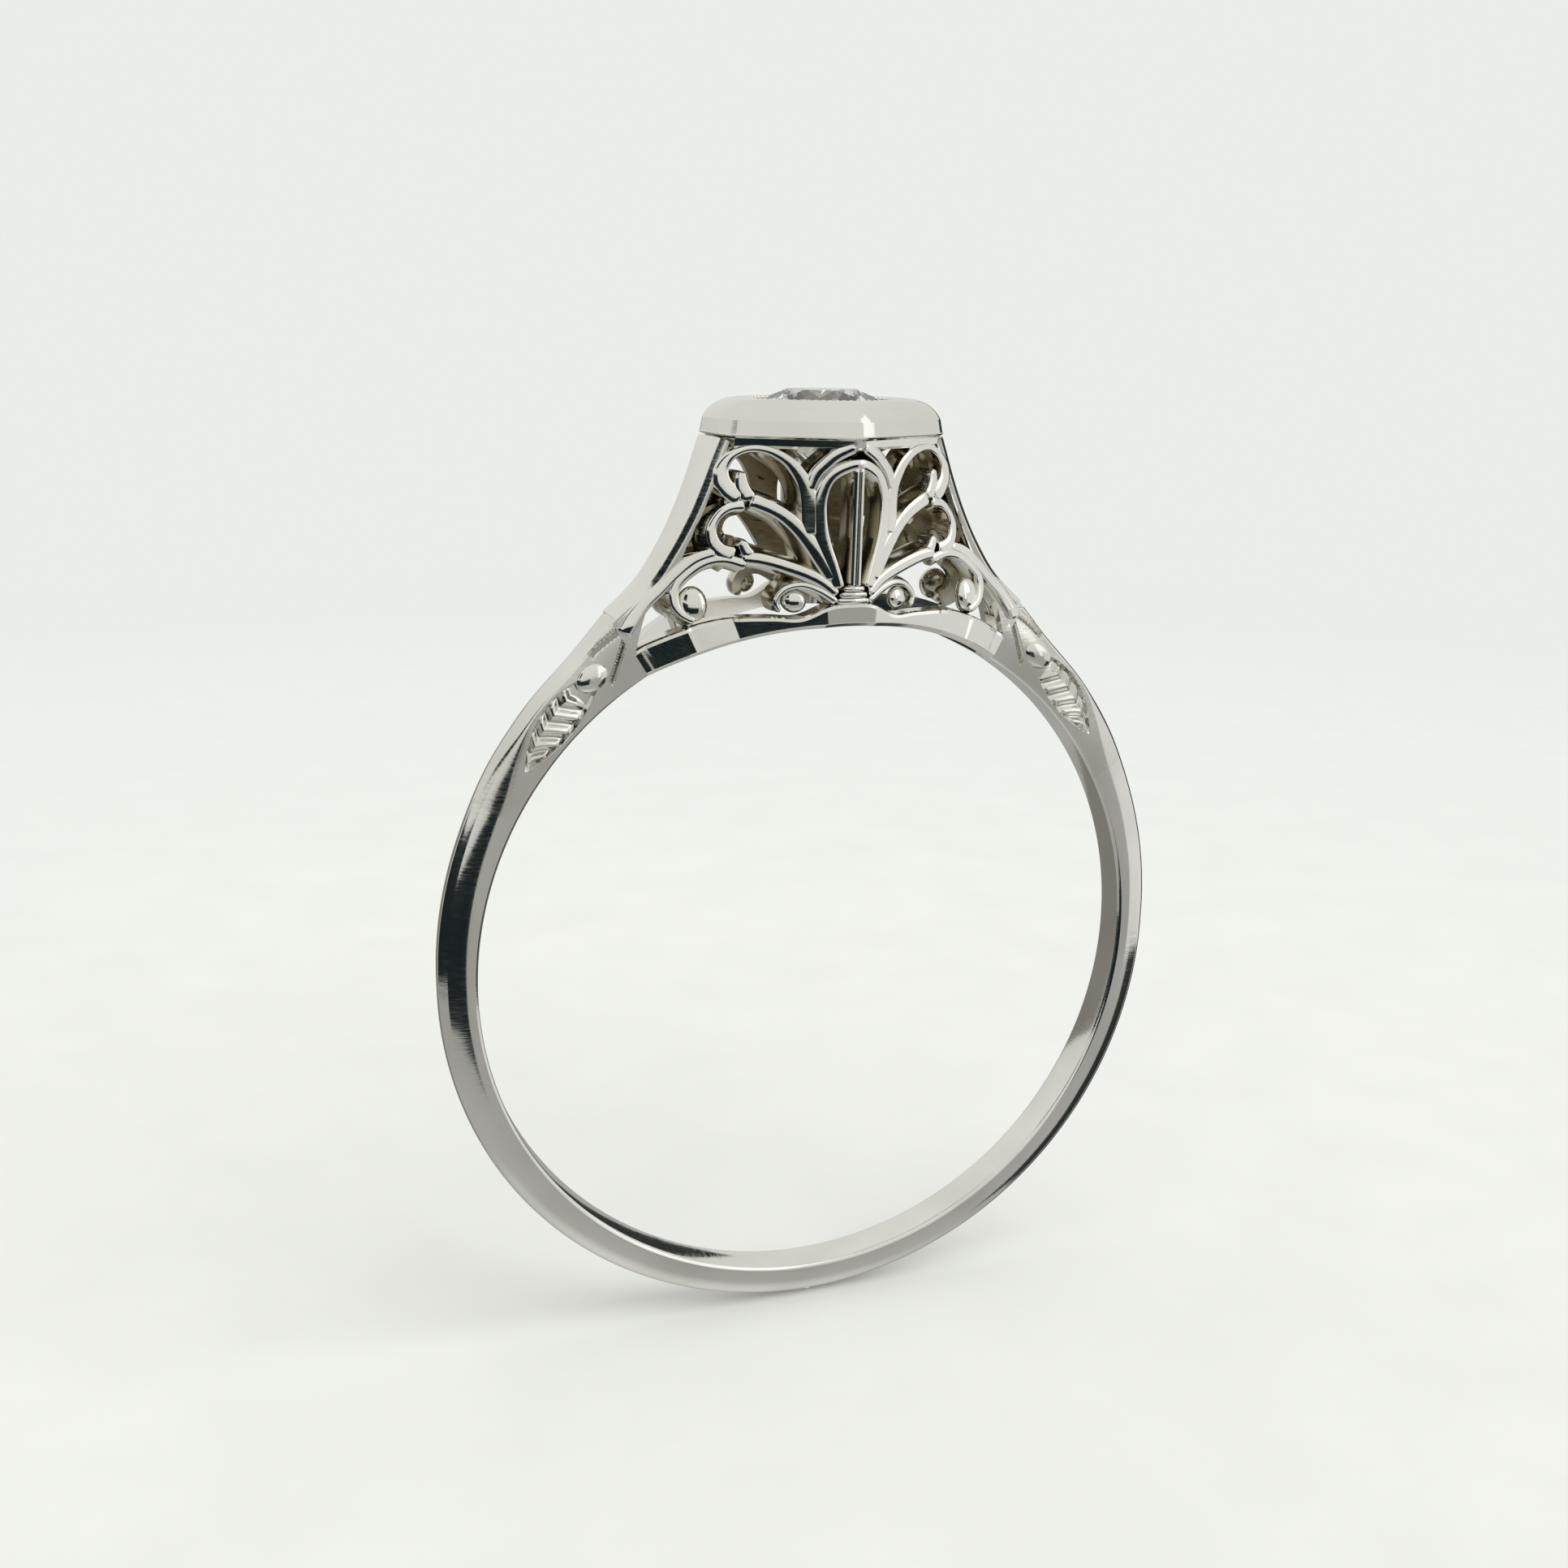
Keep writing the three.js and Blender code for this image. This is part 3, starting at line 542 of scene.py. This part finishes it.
# middle lines of the filigree's strands as (x, z), on the right half of a face
CENTRE_LEAF_HALF = [[0.36, 9.4], [0.53, 9.9], [0.7, 10.42], [0.79, 10.95], [0.77, 11.5], [0.55, 11.96]]
CENTRE_LEAF = [[-x, z] for x, z in CENTRE_LEAF_HALF] + [[0, 12.2]] + CENTRE_LEAF_HALF[::-1]
MIDRIB = [[0, 9.42], [0, 10.4], [0, 11.3], [0, 12.14]]
ARCH = [[1.02, 11.6], [0.9, 11.96], [0.7, 12.2], [0.48, 12.4], [0.1, 12.6]]
UPPER_LEAF = [
    [1.0, 10.6], [1.0, 11.1], [1.04, 11.56], [1.18, 11.9], [1.44, 12.24], [1.8, 12.46], [2.2, 12.5],
    [2.55, 12.34], [2.74, 12.08], [2.76, 11.8], [2.6, 11.52], [2.4, 11.38],
]
UPPER_HOOK = [[2.2, 11.36], [2.32, 11.56], [2.38, 11.8], [2.36, 12.0]]
VEIN = [[0.5, 9.6], [0.76, 10.06], [0.98, 10.42], [1.24, 10.76], [1.54, 11.04], [1.86, 11.22], [2.2, 11.36]]
LOWER_LEAF = [
    [2.3, 11.24], [2.6, 11.19], [2.84, 11.02], [3.0, 10.72], [2.98, 10.44], [2.84, 10.22], [2.56, 10.08],
]
LOWER_HOOK = [[2.22, 10.1], [2.32, 10.26], [2.38, 10.46]]
STEM = [[0.4, 9.26], [0.72, 9.54], [1.1, 9.74], [1.6, 9.92], [2.0, 10.03], [2.4, 10.08]]
SCROLL = [
    [2.3, 9.9], [2.74, 10.02], [3.14, 9.96], [3.5, 9.74], [3.8, 9.42], [3.86, 9.1], [3.74, 8.8], [3.44, 8.62],
]
SHOULDER_STRAND = [
    [2.94, 10.18], [3.4, 10.0], [3.82, 9.66], [4.16, 9.32], [4.5, 9.0], [4.8, 8.62], [4.98, 8.3],
]
CURL = [[0.4, 9.1], [0.76, 9.34], [1.14, 9.47], [1.5, 9.38], [1.7, 9.12], [1.62, 8.86]]
THIN = 0.16
# the balls on the scroll and the curl: centre and radii in face coordinates
SCROLL_BALL = (3.44, 9.0, 0.2), (0.31, 0.4, 0.24)
CURL_BALL = (1.28, 9.1, 0.22), (0.27, 0.27, 0.22)
# foot of the centre leaf: height, thickness and half length of each step
LOTUS_STEPS = (9.12, 0.12, 0.4), (9.26, 0.12, 0.34), (9.4, 0.11, 0.26)


def make_half_face(face, front, side_name, side):
    """The strands on one half of a face, whose widths and flares are (place along it, value) pairs."""
    def add(piece, bodies):
        points, faces = join([lay_on_face(body, side, front) for body in bodies])
        node = f"{face}_{side_name}_{piece}"
        make_mesh(f"{node}_wire", points, faces, WIRE_GOLD, node)

    upper_width = [(0, 0.3), (0.2, 0.3), (0.4, 0.24), (0.55, 0.18), (0.7, THIN), (0.86, 0.3), (1, 0.34)]
    upper_flare = [(0, 0.16), (0.3, 0.14), (0.5, 0.14), (0.62, 0.05), (0.84, 0.05), (1, 0.2)]
    lower_width = [(0, 0.24), (0.35, THIN), (0.7, 0.24), (1, 0.4)]
    lower_flare = [(0, 0.1), (0.5, 0.22), (1, 0.24)]
    vein_width = [(0, 0.24), (0.3, 0.3), (0.7, 0.28), (1, 0.3)]
    stem_width = [(0, 0.2), (0.4, 0.26), (0.75, 0.26), (1, 0.26)]
    scroll_width = [(0, 0.22), (0.3, 0.2), (0.6, 0.2), (1, 0.16)]
    add("arch", [wire(ARCH, [(0, 0.22), (0.5, 0.26), (1, 0.22)], flare=0.04)])
    add("upper_leaf", [wire(UPPER_LEAF, upper_width, flare=upper_flare),
                       wire(UPPER_HOOK, [(0, 0.3), (0.6, 0.24), (1, THIN)], flare=0.06)])
    add("vein", [wire(VEIN, vein_width, flare=[(0, 0.1), (0.5, 0.14), (1, 0.1)])])
    add("lower_leaf", [wire(LOWER_LEAF, lower_width, flare=lower_flare),
                       wire(LOWER_HOOK, [(0, 0.26), (1, THIN)], flare=0.06)])
    add("stem", [wire(STEM, stem_width)])
    add("scroll", [wire(SCROLL, scroll_width, flare=0.12), ball(*SCROLL_BALL, 20, 32)])
    add("shoulder_strand", [wire(SHOULDER_STRAND, [(0, 0.2), (0.5, 0.24), (1, 0.3)], flare=0.06)])
    add("curl", [wire(CURL, [(0, 0.16), (0.5, 0.14), (1, 0.1)], flare=0.06), ball(*CURL_BALL, 20, 32)])


def top_rail_body():
    """Strip under the collar whose face leans in as it goes down, in face coordinates."""
    foot, deep, reach = 12.51, 0.6, 2.5
    section = [(COLLAR_BOTTOM, 0.0), (foot + 0.06, 0.03), (foot, 0.1), (foot, deep), (COLLAR_BOTTOM, deep)]
    places = np.linspace(-reach, reach, 60)
    return loft([[(x, z, depth) for z, depth in section] for x in places])


def make_face(face, front):
    """The pieces of a face that lie across its middle."""
    def add(piece, bodies):
        points, faces = join([lay_on_face(body, 1, front) for body in bodies])
        make_mesh(f"{face}_{piece}_wire", points, faces, WIRE_GOLD, f"{face}_{piece}")

    leaf_width = [(0, 0.24), (0.1, 0.28), (0.3, 0.26), (0.42, 0.22), (0.5, 0.22), (0.58, 0.22), (0.7, 0.26),
                  (0.9, 0.28), (1, 0.24)]
    leaf_flare = [(0, 0.1), (0.25, 0.16), (0.5, 0.1), (0.75, 0.16), (1, 0.1)]
    add("centre_leaf", [wire(CENTRE_LEAF, leaf_width, flare=leaf_flare)])
    add("midrib", [wire([[x + shift, z] for x, z in MIDRIB], 0.1, crown=0.04, flare=0.05)
                   for shift in (-0.07, 0.07)])
    add("top_rail", [top_rail_body()])
    add("lotus_base", [wire([[-half, z], [0, z + 0.01], [half, z]], thick, crown=0.05, flare=0.02)
                       for z, thick, half in LOTUS_STEPS])


# ---------------------------------------------------------------- base rails
# radius of the rail's top edge by angle from the top
RAIL_TOP = smooth_value([(0, 9.07), (3.2, 9.05), (7.5, 8.83), (12, 8.95), (20, 9.18), (31, 9.2)])
RAIL_DEPTH = 0.5
# the rail's blunt middle edge at its top and how it steps back below, and where the rail starts to curve in
RAIL_VERTEX, RAIL_VERTEX_LEAN = 2.27, 0.14
RAIL_BEND, RAIL_BEND_START = 0.12, 3.0


def rail_lean(across):
    """How far the rail's top edge leans back: facets that catch the light one after the other."""
    return np.interp(across, [2.5, 2.6, 3.5, 3.6], [0.0, 0.11, 0.11, 0.0])


def make_rail(face, front):
    """Strip that follows the finger hole under a face, with a rounded lower front edge."""
    angles = np.linspace(-SHOULDER_END, SHOULDER_END, 241)
    rings = []
    for angle in angles:
        top = float(RAIL_TOP(abs(angle)))
        turn = math.radians(angle)
        section = [
            (HOLE_RADIUS, RAIL_DEPTH), (HOLE_RADIUS, 0.22), (HOLE_RADIUS + 0.01, 0.17),
            (HOLE_RADIUS + 0.1, 0.02), (HOLE_RADIUS + 0.12, 0.0),
            (top - 0.1, 0.0), (top - 0.03, 0.02), (top, 0.08), (top, RAIL_DEPTH),
        ]
        ring = []
        for radius, depth in section:
            x, z = radius * math.sin(turn), radius * math.cos(turn)
            vertex_cut = RAIL_VERTEX - RAIL_VERTEX_LEAN * (top - radius)
            bend = RAIL_BEND * max(abs(x) - RAIL_BEND_START, 0.0) ** 2
            face_y = min(HEAD_BASE_DEPTH - HEAD_BASE_SLOPE * abs(x) - bend, vertex_cut)
            lean = rail_lean(abs(x)) * (radius - HOLE_RADIUS) / (top - HOLE_RADIUS)
            ring.append((x, -front * (max(face_y, SHOULDER_HALF) - depth - lean), z))
        rings.append(ring)
    points, faces = loft(rings)
    make_mesh(f"rail_{face}_strip", points, faces, COLLAR_GOLD, f"rail_{face}",
              sharp=FINE_ANGLE)


# ---------------------------------------------------------------- end walls
WALL_ALONG = tangents(WALL_LINE)
WALL_NORMAL = np.stack([-WALL_ALONG[:, 1], WALL_ALONG[:, 0]], axis=1)
WALL_THICKNESS = 0.3
POST_TOP_WIDTH, POST_WIDENING, POST_BEVEL, POST_DEPTH = 0.24, 0.14, 0.15, 0.3
PANEL_SET_BACK, PANEL_SWELL = 0.2, 0.03


def wall_point(index, inward, side):
    """A place (x, z) on or under the end wall's outer surface."""
    return (WALL_LINE[index] - WALL_NORMAL[index] * inward) * np.array([side, 1])


def make_post(face, front, side_name, side):
    """Corner post with a chamfered outer edge, wider towards the shoulder."""
    rings = []
    last = len(WALL_LINE) - 1
    for i in range(len(WALL_LINE)):
        width = POST_TOP_WIDTH + POST_WIDENING * ramp(i / last, 0.35, 0.9)
        y_face = float(face_depth(WALL_LINE[i, 0], WALL_LINE[i, 1]))
        section = [
            (0.0, POST_BEVEL + 0.02), (0.012, POST_BEVEL), (POST_BEVEL - 0.01, 0.008), (POST_BEVEL, 0.0),
            (POST_BEVEL + 0.015, 0.0), (width - 0.03, 0.0), (width, 0.03), (width, POST_DEPTH),
            (0.0, POST_DEPTH),
        ]
        ring = []
        for inward, depth in section:
            x, z = wall_point(i, inward, side)
            ring.append((x, -front * (y_face - depth), z))
        rings.append(ring)
    points, faces = loft(rings)
    node = f"post_{face}_{side_name}"
    make_mesh(f"{node}_rib", points, faces, WIRE_GOLD, node)


def make_side_panel(side_name, side):
    """Curved end wall between two posts, swelling slightly outward."""
    rings = []
    for i in range(len(WALL_LINE)):
        half = float(face_depth(WALL_LINE[i, 0], WALL_LINE[i, 1])) - PANEL_SET_BACK
        across = np.linspace(-half, half, 17)
        swell = PANEL_SWELL * (1 - (across / half) ** 2)
        ring = []
        for y, rise in zip(across, swell):
            x, z = wall_point(i, FLUSH_GAP - rise, side)
            ring.append((x, y, z))
        for y in across[::-1]:
            x, z = wall_point(i, WALL_THICKNESS, side)
            ring.append((x, y, z))
        rings.append(ring)
    points, faces = loft(rings)
    node = f"side_panel_{side_name}"
    make_mesh(f"{node}_plate", points, faces, WIRE_GOLD, node)


# ---------------------------------------------------------------- collar and top
def hexagon_share(angle):
    """Plan radius of the collar's rounded hexagon at an angle, over the distance to its flats."""
    slant = math.hypot(1, COLLAR_SLOPE)
    to_slant = COLLAR_VERTEX / slant
    flat = np.abs(np.cos(angle)) / COLLAR_FLAT
    slant_a = np.abs(np.sin(angle) + COLLAR_SLOPE * np.cos(angle)) / slant / to_slant
    slant_b = np.abs(np.sin(angle) - COLLAR_SLOPE * np.cos(angle)) / slant / to_slant
    total = flat ** CORNER_SHARPNESS + slant_a ** CORNER_SHARPNESS + slant_b ** CORNER_SHARPNESS
    return 1 / (COLLAR_FLAT * total ** (1 / CORNER_SHARPNESS))


def hexagon_rings(profile, round_radius, hex_radius, count):
    """Rings of a body turned about Z whose plan grows from a circle to the collar's hexagon."""
    around = np.linspace(0, 2 * math.pi, count, endpoint=False)
    plan = hexagon_share(around)
    rings = []
    for k in range(count):
        ring = []
        for radius, z in profile:
            share = np.clip((radius - round_radius) / (hex_radius - round_radius), 0, 1)
            reach = radius * (1 + (plan[k] - 1) * share)
            ring.append((reach * math.cos(around[k]), reach * math.sin(around[k]), z))
        rings.append(ring)
    return rings


# the collar's section: the height and lean of its outer wall, then a dome from a given turn to the opening
COLLAR_OUTER = COLLAR_FLAT + 0.05
WALL_HEIGHT, WALL_LEAN = 0.4, 0.075
DOME_ACROSS = 0.72
COLLAR_INNER = COLLAR_OUTER - WALL_LEAN - DOME_ACROSS - 0.12
DOME_START = 0.5
# between these radii the plan goes from a circle to the hexagon
ROUND_OPENING, FULL_HEXAGON = COLLAR_INNER - 0.13, COLLAR_FLAT - 0.22


def make_collar():
    """Hexagonal bezel band, as one section carried round the head."""
    wall_top = COLLAR_BOTTOM + WALL_HEIGHT
    dome_outer = COLLAR_OUTER - WALL_LEAN
    profile = [
        (COLLAR_FLAT - 0.3, COLLAR_BOTTOM), (COLLAR_FLAT - 0.1, COLLAR_BOTTOM),
        (COLLAR_FLAT - 0.04, COLLAR_BOTTOM + 0.01),
        (COLLAR_OUTER - 0.02, COLLAR_BOTTOM + 0.05), (COLLAR_OUTER, COLLAR_BOTTOM + 0.08),
    ]
    for rise in np.linspace(0.25, 1.0, 5):
        profile.append((COLLAR_OUTER - WALL_LEAN * rise, COLLAR_BOTTOM + WALL_HEIGHT * rise))
    across = DOME_ACROSS / math.cos(DOME_START)
    height = (COLLAR_TOP - wall_top) / (1 - math.sin(DOME_START))
    for turn in np.linspace(DOME_START, math.pi / 2, 24)[1:]:
        profile.append((dome_outer - across * (math.cos(DOME_START) - math.cos(turn)),
                        wall_top + height * (math.sin(turn) - math.sin(DOME_START))))
    profile += [(COLLAR_INNER + 0.06, COLLAR_TOP - 0.005), (COLLAR_INNER + 0.01, COLLAR_TOP - 0.03),
                (COLLAR_INNER, COLLAR_TOP - 0.08), (COLLAR_INNER, COLLAR_BOTTOM)]
    points, faces = loft(hexagon_rings(profile, ROUND_OPENING, FULL_HEXAGON, 360), wrap=True)
    make_mesh("collar_rim", points, faces, COLLAR_GOLD, "collar", sharp=COLLAR_ANGLE)


GRAIN_COUNT = 6
GRAIN_RADIUS = 0.13
MILGRAIN_COUNT, MILGRAIN_RADIUS = 72, 0.07
STAR_CUTS, STAR_DEPTH, STAR_FADE = 24, 0.09, 1.15
SEAT_CLEARANCE, SEAT_LEDGE = 0.03, 0.26


def make_stone_plate():
    """Round plate with star-shaped cuts that fall from the stone's seat towards the collar."""
    outer = COLLAR_INNER - 0.01
    seat = STONE_RADIUS + SEAT_CLEARANCE
    rings = []
    for turn in np.linspace(0, 2 * math.pi, 360, endpoint=False):
        star = abs(((turn / (2 * math.pi) * STAR_CUTS) % 1) - 0.5) * 2
        section = []
        for step in np.linspace(0, 1, 9):
            cut = STAR_DEPTH * star * math.sin(math.pi * min(step * STAR_FADE, 1))
            section.append((seat + (outer - seat) * step, PLATE_TOP + 0.05 - cut))
        section += [(outer, plate_low[2]), (seat - SEAT_LEDGE, plate_low[2]), (seat, PLATE_TOP - 0.06)]
        rings.append([(radius * math.cos(turn), radius * math.sin(turn), z) for radius, z in section])
    points, faces = loft(rings, wrap=True)
    make_mesh("stone_plate_cut", points, faces, PLATE_GOLD, "stone_plate")


def make_grains():
    """Beads of metal pushed over the stone's edge, where the CAD has its grains."""
    for i in range(GRAIN_COUNT):
        low, high = corners(f"grain_{i + 1}")
        centre = (low + high) / 2
        centre[2] = low[2] + 0.04
        points, faces = ball(centre, (GRAIN_RADIUS, GRAIN_RADIUS, high[2] - centre[2]), 16, 28)
        make_mesh(f"grain_{i + 1}_bead", points, faces, PLATE_GOLD, f"grain_{i + 1}")


def make_milgrain():
    """Row of tiny beads rolled round the collar's inner edge."""
    radius = COLLAR_INNER - 0.01
    parts = []
    for turn in np.linspace(0, 2 * math.pi, MILGRAIN_COUNT, endpoint=False):
        centre = (radius * math.cos(turn), radius * math.sin(turn), COLLAR_TOP - 0.06)
        parts.append(ball(centre, (MILGRAIN_RADIUS,) * 3, 8, 12))
    points, faces = join(parts)
    make_mesh("collar_milgrain", points, faces, PLATE_GOLD)


def make_diamond():
    """Old-cut round brilliant: 8 table corners, 8 star tips, 16 girdle points, 8 lower tips, open culet."""
    table_z, culet_z = stone_high[2], stone_low[2]
    girdle_low, girdle_high = 13.26, 13.32
    table_r, star_r, low_r, culet_r = 0.88, 1.22, 0.42, 0.07
    eighth = 2 * math.pi / 8

    def polar(radius, turn, z):
        return (radius * math.cos(turn * eighth), radius * math.sin(turn * eighth), z)

    kite_slope = (girdle_high - table_z) / (STONE_RADIUS - table_r)
    star_z = table_z + kite_slope * (star_r * math.cos(eighth / 2) - table_r)
    main_slope = (girdle_low - culet_z) / (STONE_RADIUS - culet_r)
    low_z = culet_z + main_slope * (low_r * math.cos(eighth / 2) - culet_r)
    points = [polar(table_r, k, table_z) for k in range(8)]
    points += [polar(star_r, k + 0.5, star_z) for k in range(8)]
    points += [polar(STONE_RADIUS, k / 2, girdle_high) for k in range(16)]
    points += [polar(STONE_RADIUS, k / 2, girdle_low) for k in range(16)]
    points += [polar(low_r, k + 0.5, low_z) for k in range(8)]
    points += [polar(culet_r, k, culet_z) for k in range(8)]
    table, star, upper, lower, tip, culet = 0, 8, 16, 32, 48, 56
    faces = [tuple(range(8)), tuple(range(culet + 7, culet - 1, -1))]
    for k in range(8):
        after, before = (k + 1) % 8, (k - 1) % 8
        here, half, turn = 2 * k, 2 * k + 1, (2 * k + 2) % 16
        faces.append((table + k, star + before, upper + here, star + k))
        faces.append((table + k, star + k, table + after))
        faces.append((star + k, upper + here, upper + half))
        faces.append((star + k, upper + half, upper + turn))
        faces.append((upper + here, lower + here, lower + half, upper + half))
        faces.append((upper + half, lower + half, lower + turn, upper + turn))
        faces.append((tip + k, lower + half, lower + here))
        faces.append((tip + k, lower + turn, lower + half))
        faces.append((culet + k, tip + k, lower + here, tip + before))
        faces.append((culet + k, culet + after, tip + k))
    points = np.array(points)
    faces = face_outward(points, faces)
    piece = make_mesh("centre_diamond_brilliant", points, faces, DIAMOND, "centre_diamond",
                      sharp=None)
    piece.data.polygons.foreach_set("use_smooth", [False] * len(piece.data.polygons))


make_shank()
make_collar()
make_stone_plate()
make_milgrain()
make_grains()
make_diamond()
for side_name, side in (("left", -1), ("right", 1)):
    make_shoulder(f"shoulder_{side_name}", side)
    make_side_panel(side_name, side)
for face, front in (("front", 1), ("back", -1)):
    make_rail(face, front)
    make_face(face, front)
    for side_name, side in (("left", -1), ("right", 1)):
        make_post(face, front, side_name, side)
        make_half_face(face, front, side_name, side)


# ---------------------------------------------------------------- floor, cards, lights, world
PALE = (0.835, 0.85, 0.815)


def make_floor():
    """Pale floor just under the band that fades out away from the ring; its radii are in metres."""
    mesh = bpy.data.meshes.new("floor")
    rings = [0.0001, 0.02, 0.05, 0.1, 0.2, 0.3]
    count = 64
    z = (band_low[2] - 0.03) * MM
    points = [(r * math.cos(2 * math.pi * k / count), r * math.sin(2 * math.pi * k / count), z)
              for r in rings for k in range(count)]
    mesh.from_pydata(points, [], grid_faces(len(rings), count))
    floor = bpy.data.objects.new("floor", mesh)
    bpy.context.scene.collection.objects.link(floor)
    material, nodes, links, shader = new_material("pale_floor")
    shader.inputs["Roughness"].default_value = 0.9
    grain = add_noise(nodes, links, 300, 4.0)
    speckle = add_mix(nodes, links, grain, (0.80, 0.81, 0.79), (0.86, 0.87, 0.85))
    links.new(speckle, shader.inputs["Base Color"])
    place = nodes.new("ShaderNodeTexCoord")
    reach = nodes.new("ShaderNodeVectorMath")
    reach.operation = "LENGTH"
    links.new(place.outputs["Object"], reach.inputs[0])
    fade = add_range(nodes, links, reach.outputs["Value"], 0.03, 0.12, 1.0, 0.0)
    links.new(fade, shader.inputs["Alpha"])
    mesh.materials.append(material)
    floor.visible_glossy = False


# distance of the cards from the ring, in metres
CARD_RADIUS = 0.3


def make_card(name, left, right, low, high, colour, strength):
    """A curved studio card seen only in reflections: degrees left of the front, degrees above the horizon."""
    rows, columns = 12, 24
    points = []
    for elevation in np.radians(np.linspace(low, high, rows)):
        for azimuth in np.radians(np.linspace(left, right, columns)):
            points.append((-math.sin(azimuth) * math.cos(elevation) * CARD_RADIUS,
                           -math.cos(azimuth) * math.cos(elevation) * CARD_RADIUS,
                           math.sin(elevation) * CARD_RADIUS + 0.01))
    mesh = bpy.data.meshes.new(name)
    mesh.from_pydata(points, [], grid_faces(rows, columns, wrap_columns=False))
    card = bpy.data.objects.new(name, mesh)
    bpy.context.scene.collection.objects.link(card)
    material = bpy.data.materials.new(name)
    material.use_nodes = True
    nodes, links = material.node_tree.nodes, material.node_tree.links
    nodes.clear()
    output = nodes.new("ShaderNodeOutputMaterial")
    glow = nodes.new("ShaderNodeEmission")
    glow.inputs["Color"].default_value = (*colour, 1)
    glow.inputs["Strength"].default_value = strength
    links.new(glow.outputs["Emission"], output.inputs["Surface"])
    mesh.materials.append(material)
    card.visible_camera = card.visible_diffuse = card.visible_shadow = False


def make_world():
    """Plain pale backdrop for the camera; reflections and soft light see a room, darker below the horizon."""
    world = bpy.data.worlds.new("studio")
    bpy.context.scene.world = world
    world.use_nodes = True
    nodes, links = world.node_tree.nodes, world.node_tree.links
    nodes.clear()
    output = nodes.new("ShaderNodeOutputWorld")
    plain, room, either = (nodes.new(kind) for kind in
                           ("ShaderNodeBackground", "ShaderNodeBackground", "ShaderNodeMixShader"))
    plain.inputs["Color"].default_value = (*PALE, 1)
    place = nodes.new("ShaderNodeTexCoord")
    split = nodes.new("ShaderNodeSeparateXYZ")
    links.new(place.outputs["Generated"], split.inputs[0])
    up = add_range(nodes, links, split.outputs["Z"], -1.0, 1.0, 0.0, 1.0)
    bands = nodes.new("ShaderNodeValToRGB")
    # (sine of the elevation, grey)
    stops = [(-1.0, 0.74), (-0.8, 0.46), (-0.3, 0.40), (-0.18, 0.44), (0.12, 0.76), (1.0, 0.84)]
    steps = bands.color_ramp.elements
    for _ in stops[2:]:
        steps.new(0.5)
    for step, (height, grey) in zip(steps, stops):
        step.position = (height + 1) / 2
        step.color = (grey, grey * 1.005, grey * 0.96, 1)
    links.new(up, bands.inputs["Fac"])
    links.new(bands.outputs["Color"], room.inputs["Color"])
    path = nodes.new("ShaderNodeLightPath")
    links.new(path.outputs["Is Camera Ray"], either.inputs["Fac"])
    links.new(room.outputs["Background"], either.inputs[1])
    links.new(plain.outputs["Background"], either.inputs[2])
    links.new(either.outputs["Shader"], output.inputs["Surface"])


def make_sun(name, direction, power):
    """A wide soft light from far away, so that the floor is lit evenly."""
    lamp = bpy.data.lights.new(name, "SUN")
    lamp.energy = power
    lamp.angle = math.radians(50)
    light = bpy.data.objects.new(name, lamp)
    light.rotation_euler = Vector(direction).to_track_quat("Z", "Y").to_euler()
    light.visible_glossy = False
    bpy.context.scene.collection.objects.link(light)


CAMERA_AZIMUTH, CAMERA_ELEVATION, CAMERA_ROLL = math.radians(20.0), math.radians(14.08), math.radians(0.773)
CAMERA_DISTANCE = 45.0
# how far the view's centre is to the left of and above the finger hole's centre
AIM_LEFT, AIM_UP = 0.6996, 4.1494
LENS, SENSOR = 41.01, 36


def make_camera():
    """Camera square to a point up on the head, from the left of the front and a little above."""
    azimuth, elevation, roll = CAMERA_AZIMUTH, CAMERA_ELEVATION, CAMERA_ROLL
    back = Vector((-math.sin(azimuth) * math.cos(elevation), -math.cos(azimuth) * math.cos(elevation),
                   math.sin(elevation)))
    level = Vector((math.cos(azimuth), -math.sin(azimuth), 0))
    tall = level.cross(-back)
    right = level * math.cos(roll) + tall * math.sin(roll)
    up = tall * math.cos(roll) - level * math.sin(roll)
    place = back * CAMERA_DISTANCE - right * AIM_LEFT + up * AIM_UP
    lens = bpy.data.cameras.new("camera")
    lens.sensor_width = SENSOR
    lens.lens = LENS
    lens.clip_start, lens.clip_end = 0.001, 10
    camera = bpy.data.objects.new("camera", lens)
    turn = Matrix((right, up, back)).transposed().to_4x4()
    camera.matrix_world = Matrix.Translation(place * MM) @ turn
    bpy.context.scene.collection.objects.link(camera)
    bpy.context.scene.camera = camera


BLACK, SHADE = (0.012, 0.018, 0.02), (0.03, 0.035, 0.03)
make_floor()
make_card("card_left", 60, 128, -22, 8, BLACK, 1.0)
make_card("card_left_strip", 68, 88, 16, 38, BLACK, 1.0)
make_card("card_front", 2, 60, -28, -2, BLACK, 1.0)
make_card("card_right_back", -152, -112, -46, 12, SHADE, 1.0)
make_card("card_right", -112, -45, -22, 8, (1.0, 1.0, 0.97), 0.8)
make_card("card_right_low", -104, -60, -50, -22, SHADE, 1.0)
make_card("card_back_low", 136, 178, -44, 2, (0.24, 0.235, 0.21), 1.0)
make_card("card_window", -74, -22, 10, 58, (1.0, 1.0, 0.98), 1.25)
make_card("card_window_foot", -38, -26, -8, 10, (1.0, 1.0, 0.98), 1.25)
make_world()
make_sun("key_light", (0.5, -0.6, 1.0), 1.05)
make_camera()
bpy.context.scene.view_settings.view_transform = "Standard"
